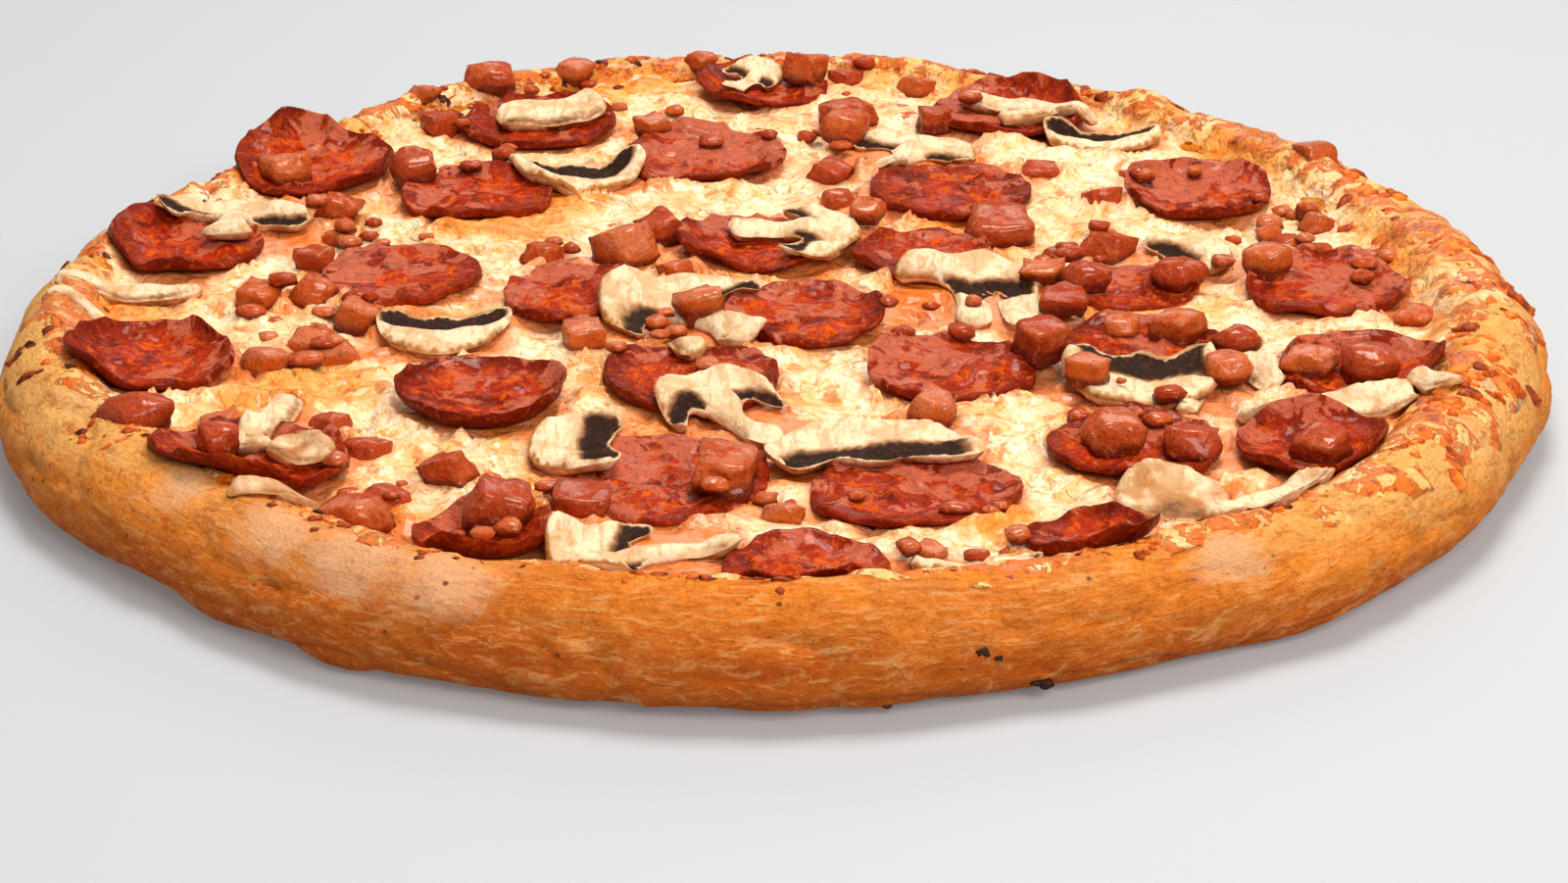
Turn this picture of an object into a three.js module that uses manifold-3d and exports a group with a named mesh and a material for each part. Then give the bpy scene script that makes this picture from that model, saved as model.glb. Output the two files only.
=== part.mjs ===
/* A large round pizza: a raised dough rim, melted cheese, pepperoni, mushroom slices and ham pieces.
   Millimetres, +Z up. The origin is the middle of the underside, x runs right and y runs to the back. */
import * as THREE from 'three';
import { mergeVertices } from 'three/addons/utils/BufferGeometryUtils.js';
import Module from 'manifold-3d';

const wasm = await Module();
wasm.setup();

// Driving dimensions
const RADIUS = 175;
const RIM_WIDTH = 25;
const RIM_HEIGHT = 23.5;
const CHEESE_LEVEL = 17;
const DOUGH_FLOOR = 12;
const GAP = 0.4;
const GROWTH = 0.6;
const PEPPERONI_THICK = 2;
const MUSHROOM_THICK = 3;
const HAM_SUNK = 2;
const SEGMENTS = 80;
const CHEESE_RINGS = 8;
const TURN = 2 * Math.PI;
const LIP_RADIUS = RADIUS - RIM_WIDTH;

// The rim at 16 even steps round from +x: outline against RADIUS, width and height of the raised part
const OUTLINE = [-3, -6, -7, -2, 0, -2, -6, -8, -3, 2, -1, 2, 0.5, -1, 2, -1];
const RIM_WIDTHS = [27, 26, 21, 15, 12, 12, 14, 16, 19, 25, 26, 25, 25, 25, 26, 27];
const RIM_HEIGHTS = [24, 23, 22, 21, 21, 21, 21, 21, 22, 23, 24, 24, 24, 24, 24, 24];
const LUMP = 0.45;
const MERGE_TOLERANCE = 0.15;

// Half section of the dough at its nominal size, from the underside out, over the rim and in again
const DOUGH_SECTION = [
  [0, 0], [162, 0], [170, 2], [174, 6], [175, 10], [173.8, 15], [169.5, 20.5],
  [163.5, RIM_HEIGHT], [158, 23.2], [153.5, 20.6], [LIP_RADIUS, CHEESE_LEVEL + 0.2],
  [LIP_RADIUS - 1.5, DOUGH_FLOOR], [0, DOUGH_FLOOR],
];
const RIM_TOP = DOUGH_SECTION.slice(4, 11).reverse();

// Pepperoni slices: centre, size across and deep, how far the edge cups up, and a lift towards an angle
const PEPPERONI = [
  { x: -114, y: 88, wide: 42, deep: 42, cup: 4, lift: 4, towards: 100 },
  { x: -139, y: 33, wide: 38, deep: 36, cup: 3, lift: 2, towards: 270 },
  { x: -88, y: 17, wide: 38, deep: 36, cup: 1, lift: 1, towards: 200 },
  { x: -137, y: -38, wide: 40, deep: 38, cup: 5, lift: 2, towards: 60 },
  { x: -108, y: -94, wide: 44, deep: 40, cup: 4, lift: 2, towards: 270 },
  { x: -57, y: -128, wide: 32, deep: 28, cup: 3, lift: 4, towards: 300 },
  { x: -63, y: -57, wide: 41, deep: 39, cup: 6, lift: 1, towards: 0 },
  { x: -22, y: -98, wide: 41, deep: 40, cup: 1, lift: 1, towards: 90 },
  { x: 5, y: -143, wide: 34, deep: 26, cup: 2, lift: 2, towards: 90 },
  { x: 28, y: -105, wide: 44, deep: 38, cup: 1, lift: 1, towards: 0 },
  { x: 63, y: -130, wide: 28, deep: 20, cup: 3, lift: 3, towards: 0 },
  { x: 75, y: -84, wide: 40, deep: 38, cup: 4, lift: 2, towards: 270 },
  { x: 112, y: -85, wide: 34, deep: 32, cup: 3, lift: 4, towards: 90 },
  { x: 127, y: -44, wide: 38, deep: 32, cup: 3, lift: 4, towards: 90 },
  { x: 80, y: -30, wide: 38, deep: 38, cup: 2, lift: 1, towards: 0 },
  { x: 37, y: -42, wide: 38, deep: 36, cup: 2, lift: 2, towards: 180 },
  { x: 34, y: 28, wide: 34, deep: 32, cup: 2, lift: 1, towards: 180 },
  { x: -6, y: 36, wide: 36, deep: 34, cup: 2, lift: 3, towards: 190 },
  { x: 7, y: -9, wide: 38, deep: 36, cup: 2, lift: 1, towards: 0 },
  { x: -19, y: -47, wide: 40, deep: 38, cup: 2, lift: 1, towards: 180 },
  { x: -48, y: 6, wide: 32, deep: 34, cup: 2, lift: 3, towards: 0 },
  { x: -19, y: 97, wide: 43, deep: 43, cup: 4, lift: 1, towards: 90 },
  { x: -5, y: 150, wide: 34, deep: 28, cup: 2, lift: 4, towards: 180 },
  { x: 60, y: 128, wide: 42, deep: 38, cup: 4, lift: 2, towards: 90 },
  { x: 43, y: 72, wide: 42, deep: 38, cup: 2, lift: 1, towards: 270 },
  { x: 102, y: 70, wide: 39, deep: 39, cup: 5, lift: 1, towards: 90 },
  { x: 82, y: 8, wide: 26, deep: 24, cup: 1, lift: 1, towards: 90 },
  { x: 125, y: 8, wide: 40, deep: 38, cup: 3, lift: 2, towards: 90 },
  { x: -73, y: 69, wide: 38, deep: 34, cup: 2, lift: 1, towards: 90 },
  { x: -60, y: 120, wide: 42, deep: 38, cup: 4, lift: 1, towards: 90 },
];

// Mushroom slices: centre, kind of cut, width of the cap, depth from cap to stem, and where the cap points
const MUSHROOMS = [
  { x: -129, y: 47, cut: 'whole', wide: 36, deep: 30, cap: 90 },
  { x: -148, y: 4, cut: 'strip', wide: 34, deep: 9, cap: 95 },
  { x: -75, y: -18, cut: 'cap', wide: 30, deep: 24, cap: 270 },
  { x: -108, y: -77, cut: 'strip', wide: 28, deep: 9, cap: 170 },
  { x: -41, y: -84, cut: 'cap', wide: 32, deep: 21, cap: 180 },
  { x: -26, y: -137, cut: 'whole', wide: 27, deep: 40, cap: 190 },
  { x: 20, y: -85, cut: 'cap', wide: 44, deep: 26, cap: 90 },
  { x: 39, y: -142, cut: 'cap', wide: 26, deep: 9, cap: 270 },
  { x: 80, y: -110, cut: 'chunk', wide: 24, deep: 20, cap: 90 },
  { x: 99, y: -114, cut: 'strip', wide: 32, deep: 13, cap: 130 },
  { x: 117, y: -65, cut: 'strip', wide: 40, deep: 12, cap: 100 },
  { x: 80, y: -48, cut: 'cap', wide: 34, deep: 26, cap: 270 },
  { x: 48, y: 3, cut: 'comb', wide: 40, deep: 36, cap: 90 },
  { x: 4, y: 40, cut: 'whole', wide: 34, deep: 32, cap: 0 },
  { x: -18, y: -10, cut: 'whole', wide: 36, deep: 42, cap: 130 },
  { x: -10, y: -67, cut: 'whole', wide: 28, deep: 36, cap: 120 },
  { x: 70, y: 125, cut: 'strip', wide: 36, deep: 8, cap: 65 },
  { x: 82, y: 108, cut: 'cap', wide: 30, deep: 14, cap: 275 },
  { x: 33, y: 98, cut: 'whole', wide: 32, deep: 28, cap: 60 },
  { x: 98, y: 30, cut: 'cap', wide: 22, deep: 18, cap: 20 },
  { x: -50, y: 83, cut: 'cap', wide: 34, deep: 22, cap: 270 },
  { x: -58, y: 122, cut: 'strip', wide: 28, deep: 16, cap: 110 },
];

// The largest ham pieces stand alone: centre and size across, deep and high
const HAM = [
  { x: -133, y: -79, wide: 17, deep: 13, high: 10 },
  { x: -36, y: 29, wide: 17, deep: 16, high: 13 },
  { x: 53, y: 43, wide: 17, deep: 16, high: 11 },
  { x: -84, y: -121, wide: 16, deep: 12, high: 10 },
  { x: -10, y: -103, wide: 14, deep: 16, high: 11 },
  { x: 57, y: -36, wide: 13, deep: 15, high: 12 },
];

// Smaller ham pieces, fused to what they lie on: centre and size across
const SMALL_HAM = [
  [-121, 83, 13], [-106, 60, 12], [-104, 43, 9], [-89, 79, 13], [-86, 120, 12], [-119, 1, 12],
  [-106, 2, 12], [-95, -10, 12], [-108, 24, 10], [-112, -36, 12], [-104, -25, 10], [-97, -32, 10],
  [-118, -68, 10], [-116, -88, 11], [-95, -68, 9], [-86, -83, 10], [-68, -97, 14], [-80, -107, 10],
  [-56, -121, 14], [-40, -114, 13], [1, -116, 9], [-28, 47, 13], [-24, 19, 9], [-55, 29, 10],
  [-43, -22, 11], [-18, -11, 12], [17, 125, 15], [17, 111, 13], [12, 86, 12], [14, 67, 9],
  [39, 121, 10], [64, 88, 9], [78, 68, 11], [21, 51, 9], [77, 34, 13], [66, 28, 10],
  [60, 12, 10], [70, 6, 11], [64, -9, 11], [91, 10, 12], [67, -52, 11], [88, -23, 12],
  [76, -20, 9], [97, -47, 11], [101, -31, 10], [112, 15, 13], [120, 37, 9], [128, 51, 10],
  [143, -9, 10], [115, -43, 12], [128, -47, 13], [70, -83, 13], [86, -87, 14], [113, -90, 14],
  [33, -67, 12], [30, -135, 8], [7, 155, 13], [-32, 115, 9], [-98, 146, 9], [-77, 151, 12],
  [-56, 164, 10], [-21, 165, 9], [17, 161, 9], [36, 152, 11], [131, 84, 11],
];

const MATERIALS = {
  crust: new THREE.MeshStandardMaterial({ color: 0xd69a5c, roughness: 0.75 }),
  cheese: new THREE.MeshStandardMaterial({ color: 0xf6e3b8, roughness: 0.45 }),
  pepperoni: new THREE.MeshStandardMaterial({ color: 0xa8412a, roughness: 0.4 }),
  mushroom: new THREE.MeshStandardMaterial({ color: 0xeadcc0, roughness: 0.6 }),
  ham: new THREE.MeshStandardMaterial({ color: 0xb95a42, roughness: 0.45 }),
};

// Helpers

function around(values, angle) {
  // A smooth closed curve through even steps round the circle
  const step = (((angle / TURN) % 1) + 1) % 1 * values.length;
  const first = Math.floor(step);
  const t = step - first;
  const at = (offset) => values[(first + offset + values.length) % values.length];
  const slope = (at(1) - at(-1)) / 2;
  const nextSlope = (at(2) - at(0)) / 2;
  const rise = at(1) - at(0);
  return at(0) + t * (slope + t * (3 * rise - 2 * slope - nextSlope + t * (slope + nextSlope - 2 * rise)));
}

function lumps(angle, seed) {
  return Math.sin(5 * angle + seed) + 0.7 * Math.sin(9 * angle + 2 * seed) + 0.5 * Math.sin(16 * angle + 3 * seed);
}

function seededRandom(seed) {
  let state = seed;
  return () => {
    state = (state * 16807) % 2147483647;
    return state / 2147483647;
  };
}

function closed(geometry) {
  // Merges the vertices by place and drops the triangles that this leaves without area
  geometry.deleteAttribute('normal');
  geometry.deleteAttribute('uv');
  const merged = mergeVertices(geometry, 0.0001);
  const index = [...merged.index.array];
  const kept = [];
  for (let i = 0; i < index.length; i += 3) {
    const [a, b, c] = index.slice(i, i + 3);
    if (a !== b && b !== c && c !== a) kept.push(a, b, c);
  }
  merged.setIndex(kept);
  return merged;
}

function moveVertices(geometry, move) {
  const place = geometry.attributes.position;
  for (let i = 0; i < place.count; i += 1) {
    const [x, y, z] = move(place.getX(i), place.getY(i), place.getZ(i));
    place.setXYZ(i, x, y, z);
  }
  return geometry;
}

function revolve(section, segments) {
  // A closed half section turned about the z axis
  const points = section.map(([r, z]) => new THREE.Vector2(r, z));
  return closed(new THREE.LatheGeometry(points, segments).rotateX(Math.PI / 2));
}

function toSolid(geometry) {
  const mesh = new wasm.Mesh({
    numProp: 3,
    vertProperties: new Float32Array(geometry.attributes.position.array),
    triVerts: new Uint32Array(geometry.index.array),
  });
  return new wasm.Manifold(mesh);
}

function toGeometry(solid) {
  const mesh = solid.getMesh();
  const geometry = new THREE.BufferGeometry();
  geometry.setAttribute('position', new THREE.BufferAttribute(mesh.vertProperties, 3));
  geometry.setIndex(new THREE.BufferAttribute(mesh.triVerts, 1));
  return geometry;
}

function largestPart(solid) {
  const parts = solid.simplify(MERGE_TOLERANCE).decompose();
  parts.sort((a, b) => b.volume() - a.volume());
  return toSolid(toGeometry(parts[0]));
}

function boxesMeet(a, b) {
  const boxA = a.boundingBox();
  const boxB = b.boundingBox();
  return [0, 1, 2].every((k) => boxA.min[k] - GAP < boxB.max[k] && boxB.min[k] - GAP < boxA.max[k]);
}

function grown(solid) {
  // The same solid with each corner moved out along the mean of its faces' normals
  const geometry = toGeometry(solid);
  const place = geometry.attributes.position;
  const corner = (k) => new THREE.Vector3().fromBufferAttribute(place, geometry.index.getX(k));
  const normals = Array.from({ length: place.count }, () => new THREE.Vector3());
  for (let k = 0; k < geometry.index.count; k += 3) {
    const face = new THREE.Triangle(corner(k), corner(k + 1), corner(k + 2));
    const normal = face.getNormal(new THREE.Vector3());
    [k, k + 1, k + 2].forEach((at) => normals[geometry.index.getX(at)].add(normal));
  }
  normals.forEach((normal, i) => {
    const out = normal.normalize().multiplyScalar(GROWTH);
    place.setXYZ(i, place.getX(i) + out.x, place.getY(i) + out.y, place.getZ(i) + out.z);
  });
  return toSolid(geometry);
}

function cutClear(solid, neighbours) {
  // Takes the grown neighbours away, so that the two never touch
  return neighbours.filter((other) => boxesMeet(solid, other)).reduce((left, other) => left.subtract(other), solid);
}

function topOf(solid) {
  // The height of a solid's top at a place, or null outside it, read from its triangles
  const mesh = solid.getMesh();
  const box = solid.boundingBox();
  const corner = (k) => mesh.vertProperties.subarray(3 * mesh.triVerts[k], 3 * mesh.triVerts[k] + 3);
  return (x, y) => {
    if (x < box.min[0] || x > box.max[0] || y < box.min[1] || y > box.max[1]) return null;
    let top = null;
    for (let k = 0; k < mesh.triVerts.length; k += 3) {
      const [a, b, c] = [corner(k), corner(k + 1), corner(k + 2)];
      const area = (b[0] - a[0]) * (c[1] - a[1]) - (c[0] - a[0]) * (b[1] - a[1]);
      const v = ((x - a[0]) * (c[1] - a[1]) - (c[0] - a[0]) * (y - a[1])) / area;
      const w = ((b[0] - a[0]) * (y - a[1]) - (x - a[0]) * (b[1] - a[1])) / area;
      if (v >= 0 && w >= 0 && v + w <= 1) {
        const z = a[2] + v * (b[2] - a[2]) + w * (c[2] - a[2]);
        top = top === null ? z : Math.max(top, z);
      }
    }
    return top;
  };
}

// The dough's shape and the surface on which the toppings lie

function rimAt(angle) {
  const radius = RADIUS + around(OUTLINE, angle) + LUMP * lumps(angle, 1);
  const width = around(RIM_WIDTHS, angle) + LUMP * lumps(angle, 2);
  const height = around(RIM_HEIGHTS, angle) + LUMP * lumps(angle, 4);
  return { radius, width, height, lip: radius - width };
}

function raised(z, height) {
  const share = (z - CHEESE_LEVEL) / (RIM_HEIGHT - CHEESE_LEVEL);
  return z > CHEESE_LEVEL ? CHEESE_LEVEL + share * (height - CHEESE_LEVEL) : z;
}

function onRim(x, y, z) {
  // Moves a point of the nominal round dough to the uneven one
  const angle = Math.atan2(y, x);
  const nominal = Math.hypot(x, y);
  const rim = rimAt(angle);
  let r = nominal + rim.radius - RADIUS;
  if (nominal < LIP_RADIUS + GAP / 4) {
    r = nominal * rim.lip / LIP_RADIUS;
  } else if (z > CHEESE_LEVEL) {
    r = rim.radius - (RADIUS - nominal) * rim.width / RIM_WIDTH;
  }
  return [r * Math.cos(angle), r * Math.sin(angle), raised(z, rim.height)];
}

function bedHeight(x, y) {
  // Height of the cheese, and of the rim outside it
  const rim = rimAt(Math.atan2(y, x));
  const r = RADIUS - (rim.radius - Math.hypot(x, y)) * RIM_WIDTH / rim.width;
  if (r <= LIP_RADIUS) return CHEESE_LEVEL;
  for (let i = 1; i < RIM_TOP.length; i += 1) {
    const [r0, z0] = RIM_TOP[i - 1];
    const [r1, z1] = RIM_TOP[i];
    if (r <= r1) return raised(z0 + (z1 - z0) * (r - r0) / (r1 - r0), rim.height);
  }
  return raised(RIM_TOP.at(-1)[1], rim.height);
}

function coveredBy(x, y, margin) {
  // True where a slice lies, or comes within the margin
  const near = (piece) => Math.hypot(x - piece.x, y - piece.y) < Math.max(piece.wide, piece.deep) / 2 + margin;
  return PEPPERONI.some(near) || MUSHROOMS.some(near) || HAM.some(near);
}

// Sub-parts

function makeCrust() {
  return toSolid(moveVertices(revolve(DOUGH_SECTION, SEGMENTS), onRim));
}

function makeCheese() {
  // A layer in the dough's hollow, which swells where no slice lies on it
  const swell = 1.4;
  const inset = 0.45;
  const taper = 1.5;
  const clearOfSlices = 7;
  const edge = LIP_RADIUS - inset;
  const section = [[0, DOUGH_FLOOR + GAP], [edge - taper, DOUGH_FLOOR + GAP]];
  for (let ring = CHEESE_RINGS; ring >= 0; ring -= 1) {
    section.push([edge * ring / CHEESE_RINGS, CHEESE_LEVEL]);
  }
  const random = seededRandom(41);
  return toSolid(moveVertices(revolve(section, SEGMENTS), (x, y, z) => {
    const [newX, newY, newZ] = onRim(x, y, z);
    const bare = z === CHEESE_LEVEL && !coveredBy(newX, newY, clearOfSlices);
    return [newX, newY, bare ? newZ + swell * random() : newZ];
  }));
}

function makePepperoni(slice, index) {
  const section = [
    [0, 0], [0.6, 0], [1, 0.15 * PEPPERONI_THICK], [1, 0.9 * PEPPERONI_THICK],
    [0.6, PEPPERONI_THICK], [0, PEPPERONI_THICK],
  ];
  const sides = 14;
  const wave = 0.9;
  const towards = THREE.MathUtils.degToRad(slice.towards);
  return moveVertices(revolve(section, sides), (u, v, z) => {
    const reach = Math.hypot(u, v);
    const angle = Math.atan2(v, u);
    const ragged = 1 + 0.03 * Math.sin(3 * angle + index);
    const x = slice.x + u * ragged * slice.wide / 2;
    const y = slice.y + v * ragged * slice.deep / 2;
    const curl = slice.cup * reach ** 3 + slice.lift * reach * reach * Math.max(0, Math.cos(angle - towards));
    const ripple = wave * reach * reach * (1 + Math.sin(4 * angle + 2 * index)) / 2;
    return [x, y, bedHeight(x, y) + GAP + z + curl + ripple];
  });
}

const CUTS = {
  // Outlines of unit width with the cap towards +y
  whole: (outline) => {
    outline.absellipse(0, 0, 0.5, 0.55, Math.PI, 0, true);
    outline.lineTo(0.4, -0.07);
    outline.lineTo(0.26, 0.12);
    outline.lineTo(0.12, 0.1);
    outline.lineTo(0.12, -0.3);
    outline.lineTo(0, -0.4);
    outline.lineTo(-0.13, -0.32);
    outline.lineTo(-0.1, 0.1);
    outline.lineTo(-0.26, 0.12);
    outline.lineTo(-0.4, -0.07);
  },
  cap: (outline) => {
    outline.absellipse(0, 0, 0.5, 0.62, Math.PI, 0, true);
    outline.lineTo(0.4, -0.12);
    outline.lineTo(0.2, 0.1);
    outline.lineTo(-0.2, 0.1);
    outline.lineTo(-0.4, -0.12);
  },
  strip: (outline) => {
    outline.absellipse(0.36, 0, 0.14, 0.5, Math.PI / 2, -Math.PI / 2, true);
    outline.absellipse(-0.36, 0, 0.14, 0.42, -Math.PI / 2, -1.5 * Math.PI, true);
  },
  chunk: (outline) => {
    outline.absellipse(0, 0, 0.5, 0.5, 0, -TURN, true);
  },
  comb: (outline) => {
    outline.absellipse(0, 0.3, 0.5, 0.2, Math.PI, 0, true);
    for (const side of [1, -1]) {
      outline.lineTo(side * 0.14 + 0.12, 0.26);
      outline.lineTo(side * 0.14 + 0.12, -0.45);
      outline.lineTo(side * 0.14 - 0.07, -0.5);
      outline.lineTo(side * 0.14 - 0.07, 0.26);
    }
  },
};

function makeMushroom(slice, restingHeight) {
  const outline = new THREE.Shape();
  CUTS[slice.cut](outline);
  const options = { depth: MUSHROOM_THICK, bevelEnabled: false, curveSegments: 5 };
  const flat = closed(new THREE.ExtrudeGeometry(outline, options));
  flat.computeBoundingBox();
  const unitDeep = flat.boundingBox.max.y - flat.boundingBox.min.y;
  const unitMiddle = (flat.boundingBox.max.y + flat.boundingBox.min.y) / 2;
  const turned = THREE.MathUtils.degToRad(slice.cap - 90);
  flat.translate(0, -unitMiddle, 0);
  flat.scale(slice.wide, slice.deep / unitDeep, 1);
  flat.rotateZ(turned);
  flat.translate(slice.x, slice.y, 0);
  return moveVertices(flat, (x, y, z) => [x, y, z + GAP + restingHeight(x, y)]);
}

function makeHam(piece, seed, bottom) {
  // A rounded lump, squarer than a ball, with its own unevenness
  const random = seededRandom(1000 + 77 * seed);
  const uneven = 0.16;
  const ball = closed(new THREE.OctahedronGeometry(1, 1));
  ball.rotateZ(TURN * random());
  return moveVertices(ball, (x, y, z) => {
    const squarer = 1 / Math.max(Math.abs(x), Math.abs(y), Math.abs(z)) ** 0.35;
    const size = 0.5 * squarer * (1 - uneven * random());
    return [
      piece.x + x * size * piece.wide,
      piece.y + y * size * piece.deep,
      bottom + (z + 1) * size * piece.high,
    ];
  });
}

// Laying the toppings: pepperoni first, then mushroom slices, then ham on top of both

function numbered(kind, index) {
  return `${kind}_${String(index + 1).padStart(2, '0')}`;
}

function layToppings() {
  const bed = { crust: makeCrust(), cheese: makeCheese() };
  const raisedBed = Object.values(bed).map((solid) => solid.translate([0, 0, GAP]));
  const slices = {};
  const grownSlices = {};
  const tops = {};

  const highest = (x, y) => {
    // The name and height of what lies on top at a place
    let best = { name: 'cheese', height: bedHeight(x, y) };
    for (const [name, top] of Object.entries(tops)) {
      const height = top(x, y);
      if (height !== null && height > best.height) best = { name, height };
    }
    return best;
  };
  const restingHeight = (x, y) => {
    const reach = 3;
    const beside = [[0, 0], [reach, 0], [-reach, 0], [0, reach], [0, -reach]];
    return Math.max(...beside.map(([dx, dy]) => highest(x + dx, y + dy).height));
  };
  const lay = (kind, pieces, make) => {
    const laid = pieces.map((piece, index) => {
      const name = numbered(kind, index);
      const below = [...raisedBed, ...Object.values(grownSlices)];
      slices[name] = largestPart(cutClear(toSolid(make(piece, index)), below));
      grownSlices[name] = grown(slices[name]);
      return name;
    });
    laid.forEach((name) => {
      tops[name] = topOf(slices[name]);
    });
  };

  lay('pepperoni', PEPPERONI, makePepperoni);
  lay('mushroom', MUSHROOMS, (slice) => makeMushroom(slice, restingHeight));
  lay('ham', HAM, (piece, index) => makeHam(piece, index, restingHeight(piece.x, piece.y)));

  const deepShare = 0.9;
  const highShare = 0.75;
  const lumps = SMALL_HAM.map(([x, y, size], index) => {
    const { name, height } = highest(x, y);
    const piece = { x, y, wide: size, deep: size * deepShare, high: size * highShare };
    return { host: name, solid: toSolid(makeHam(piece, HAM.length + index, height - HAM_SUNK)) };
  });
  lumps.forEach((lump, index) => {
    const bedUnder = lump.host === 'cheese' ? [raisedBed[0]] : raisedBed;
    const otherSlices = Object.keys(slices).filter((name) => name !== lump.host).map((name) => grownSlices[name]);
    const otherLumps = lumps.slice(0, index).filter((other) => other.host !== lump.host);
    const neighbours = [...bedUnder, ...otherSlices, ...otherLumps.map((other) => grown(other.solid))];
    lump.solid = cutClear(lump.solid, neighbours);
  });

  const nodes = { ...bed, ...slices };
  for (const [name, solid] of Object.entries(nodes)) {
    const own = lumps.filter((lump) => lump.host === name).map((lump) => lump.solid);
    if (own.length > 0) nodes[name] = largestPart(own.reduce((sum, lump) => sum.add(lump), solid));
  }
  return nodes;
}

function buildPizza() {
  const nodes = layToppings();
  const box = nodes.crust.boundingBox();
  const group = new THREE.Group();
  for (const [name, solid] of Object.entries(nodes)) {
    const mesh = new THREE.Mesh(toGeometry(solid), MATERIALS[name.replace(/_\d+$/, '')]);
    mesh.name = name;
    mesh.position.set(-(box.min[0] + box.max[0]) / 2, -(box.min[1] + box.max[1]) / 2, 0);
    group.add(mesh);
  }
  return group;
}

export default buildPizza();
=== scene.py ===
"""A large round pizza with cheese, pepperoni, mushroom slices and ham pieces, dressed around its solids.

Places and sizes in the tables are in millimetres, in the part's own frame: x to the right, y to the back.
"""
import math

import bpy
import numpy as np
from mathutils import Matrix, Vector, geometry


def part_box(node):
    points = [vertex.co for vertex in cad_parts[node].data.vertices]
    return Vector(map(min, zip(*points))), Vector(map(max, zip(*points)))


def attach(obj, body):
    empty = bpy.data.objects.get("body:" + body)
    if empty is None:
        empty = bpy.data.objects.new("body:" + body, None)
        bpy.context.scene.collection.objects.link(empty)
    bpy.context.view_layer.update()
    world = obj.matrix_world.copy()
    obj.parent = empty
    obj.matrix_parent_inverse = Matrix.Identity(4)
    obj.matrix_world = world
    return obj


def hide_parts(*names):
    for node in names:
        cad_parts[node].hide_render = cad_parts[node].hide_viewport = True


bl_info = {
    "name": "Baked pizza",
    "version": (1, 0, 0),
    "blender": (4, 5, 0),
    "location": "View3D > Sidebar > Pizza",
    "description": "Models a whole baked pizza and its toppings around a fixed frame",
    "category": "Object",
}

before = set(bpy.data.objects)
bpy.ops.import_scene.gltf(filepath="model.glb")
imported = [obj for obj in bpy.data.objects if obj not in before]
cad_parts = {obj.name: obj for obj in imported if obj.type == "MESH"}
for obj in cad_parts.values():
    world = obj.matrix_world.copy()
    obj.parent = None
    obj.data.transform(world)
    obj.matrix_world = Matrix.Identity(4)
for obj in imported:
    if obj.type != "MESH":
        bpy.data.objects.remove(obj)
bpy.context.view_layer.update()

MM = 0.001
TURN = 2 * math.pi
BODY = "root"

# The dough's nominal measures and its section, from the underside out and over the rim
RADIUS = 175
RIM_WIDTH = 25
RIM_HEIGHT = 23.5
LIP_RADIUS = RADIUS - RIM_WIDTH
CHEESE_LEVEL = 17
DOUGH_FLOOR = 12
SECTION = [
    (150, 0), (162, 0), (170, 2), (174, 6), (175, 10), (173.8, 15), (169.5, 20.5),
    (163.5, 23.5), (158, 23.2), (153.5, 20.6), (150, 17.2), (148.5, 12), (140, 12),
]
RIM_TOP = SECTION[10:3:-1]
RIM_STEPS = 600
CHEESE_RINGS = 150

# The rim at 16 even steps from +x: outline against RADIUS, width, height, reach of the cheese, browning
OUTLINE = [-3, -6, -7, -2, 0, -2, -6, -8, -3, 2, -1, 2, 0.5, -1, 2, -1]
RIM_WIDTHS = [27, 26, 21, 15, 12, 12, 14, 16, 19, 25, 26, 25, 25, 25, 26, 27]
RIM_HEIGHTS = [24, 23, 22, 21, 21, 21, 21, 21, 22, 23, 24, 24, 24, 24, 24, 24]
CHEESE_RUN = [25, 24, 18, 10, 8, 8, 9, 11, 15, 11, 9, 9, 10, 10, 15, 22]
BROWNING = [0.2, 0.3, 0.5, 0.6, 0.6, 0.6, 0.5, 0.4, 0.1, 0.2, 0.9, 1.4, 1.4, 1.2, 0.4, 0.1]

# Size of the outline's small lumps, number of pores in the rim, radius at which its brushed grain is laid
LUMP = 0.45
PORES = 46
GRAIN_RADIUS = 55

# How far inside the outline the cheese and the middle of each ham piece end
CHEESE_INSET = 3.5
HAM_INSET = 8

# Points round a pepperoni slice and rings across its top, and the distance of points on a mushroom slice
SLICE_STEPS = 72
SLICE_RINGS = 20
MUSHROOM_STEP = 1.1

# How deep ham pieces lie in what carries them
HAM_SUNK = 2.5
SMALL_HAM_SUNK = 2.8
CRUMB_SUNK = 0.8

# Where the drawing of random numbers starts for each kind
MUSHROOM_SEED = 500
HAM_SEED = 11
TOASTED_SEED = 23

# Steps whose multiples spread evenly between whole numbers
EVEN_STEPS = (0.618034, 0.754878, 0.5698)

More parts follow.
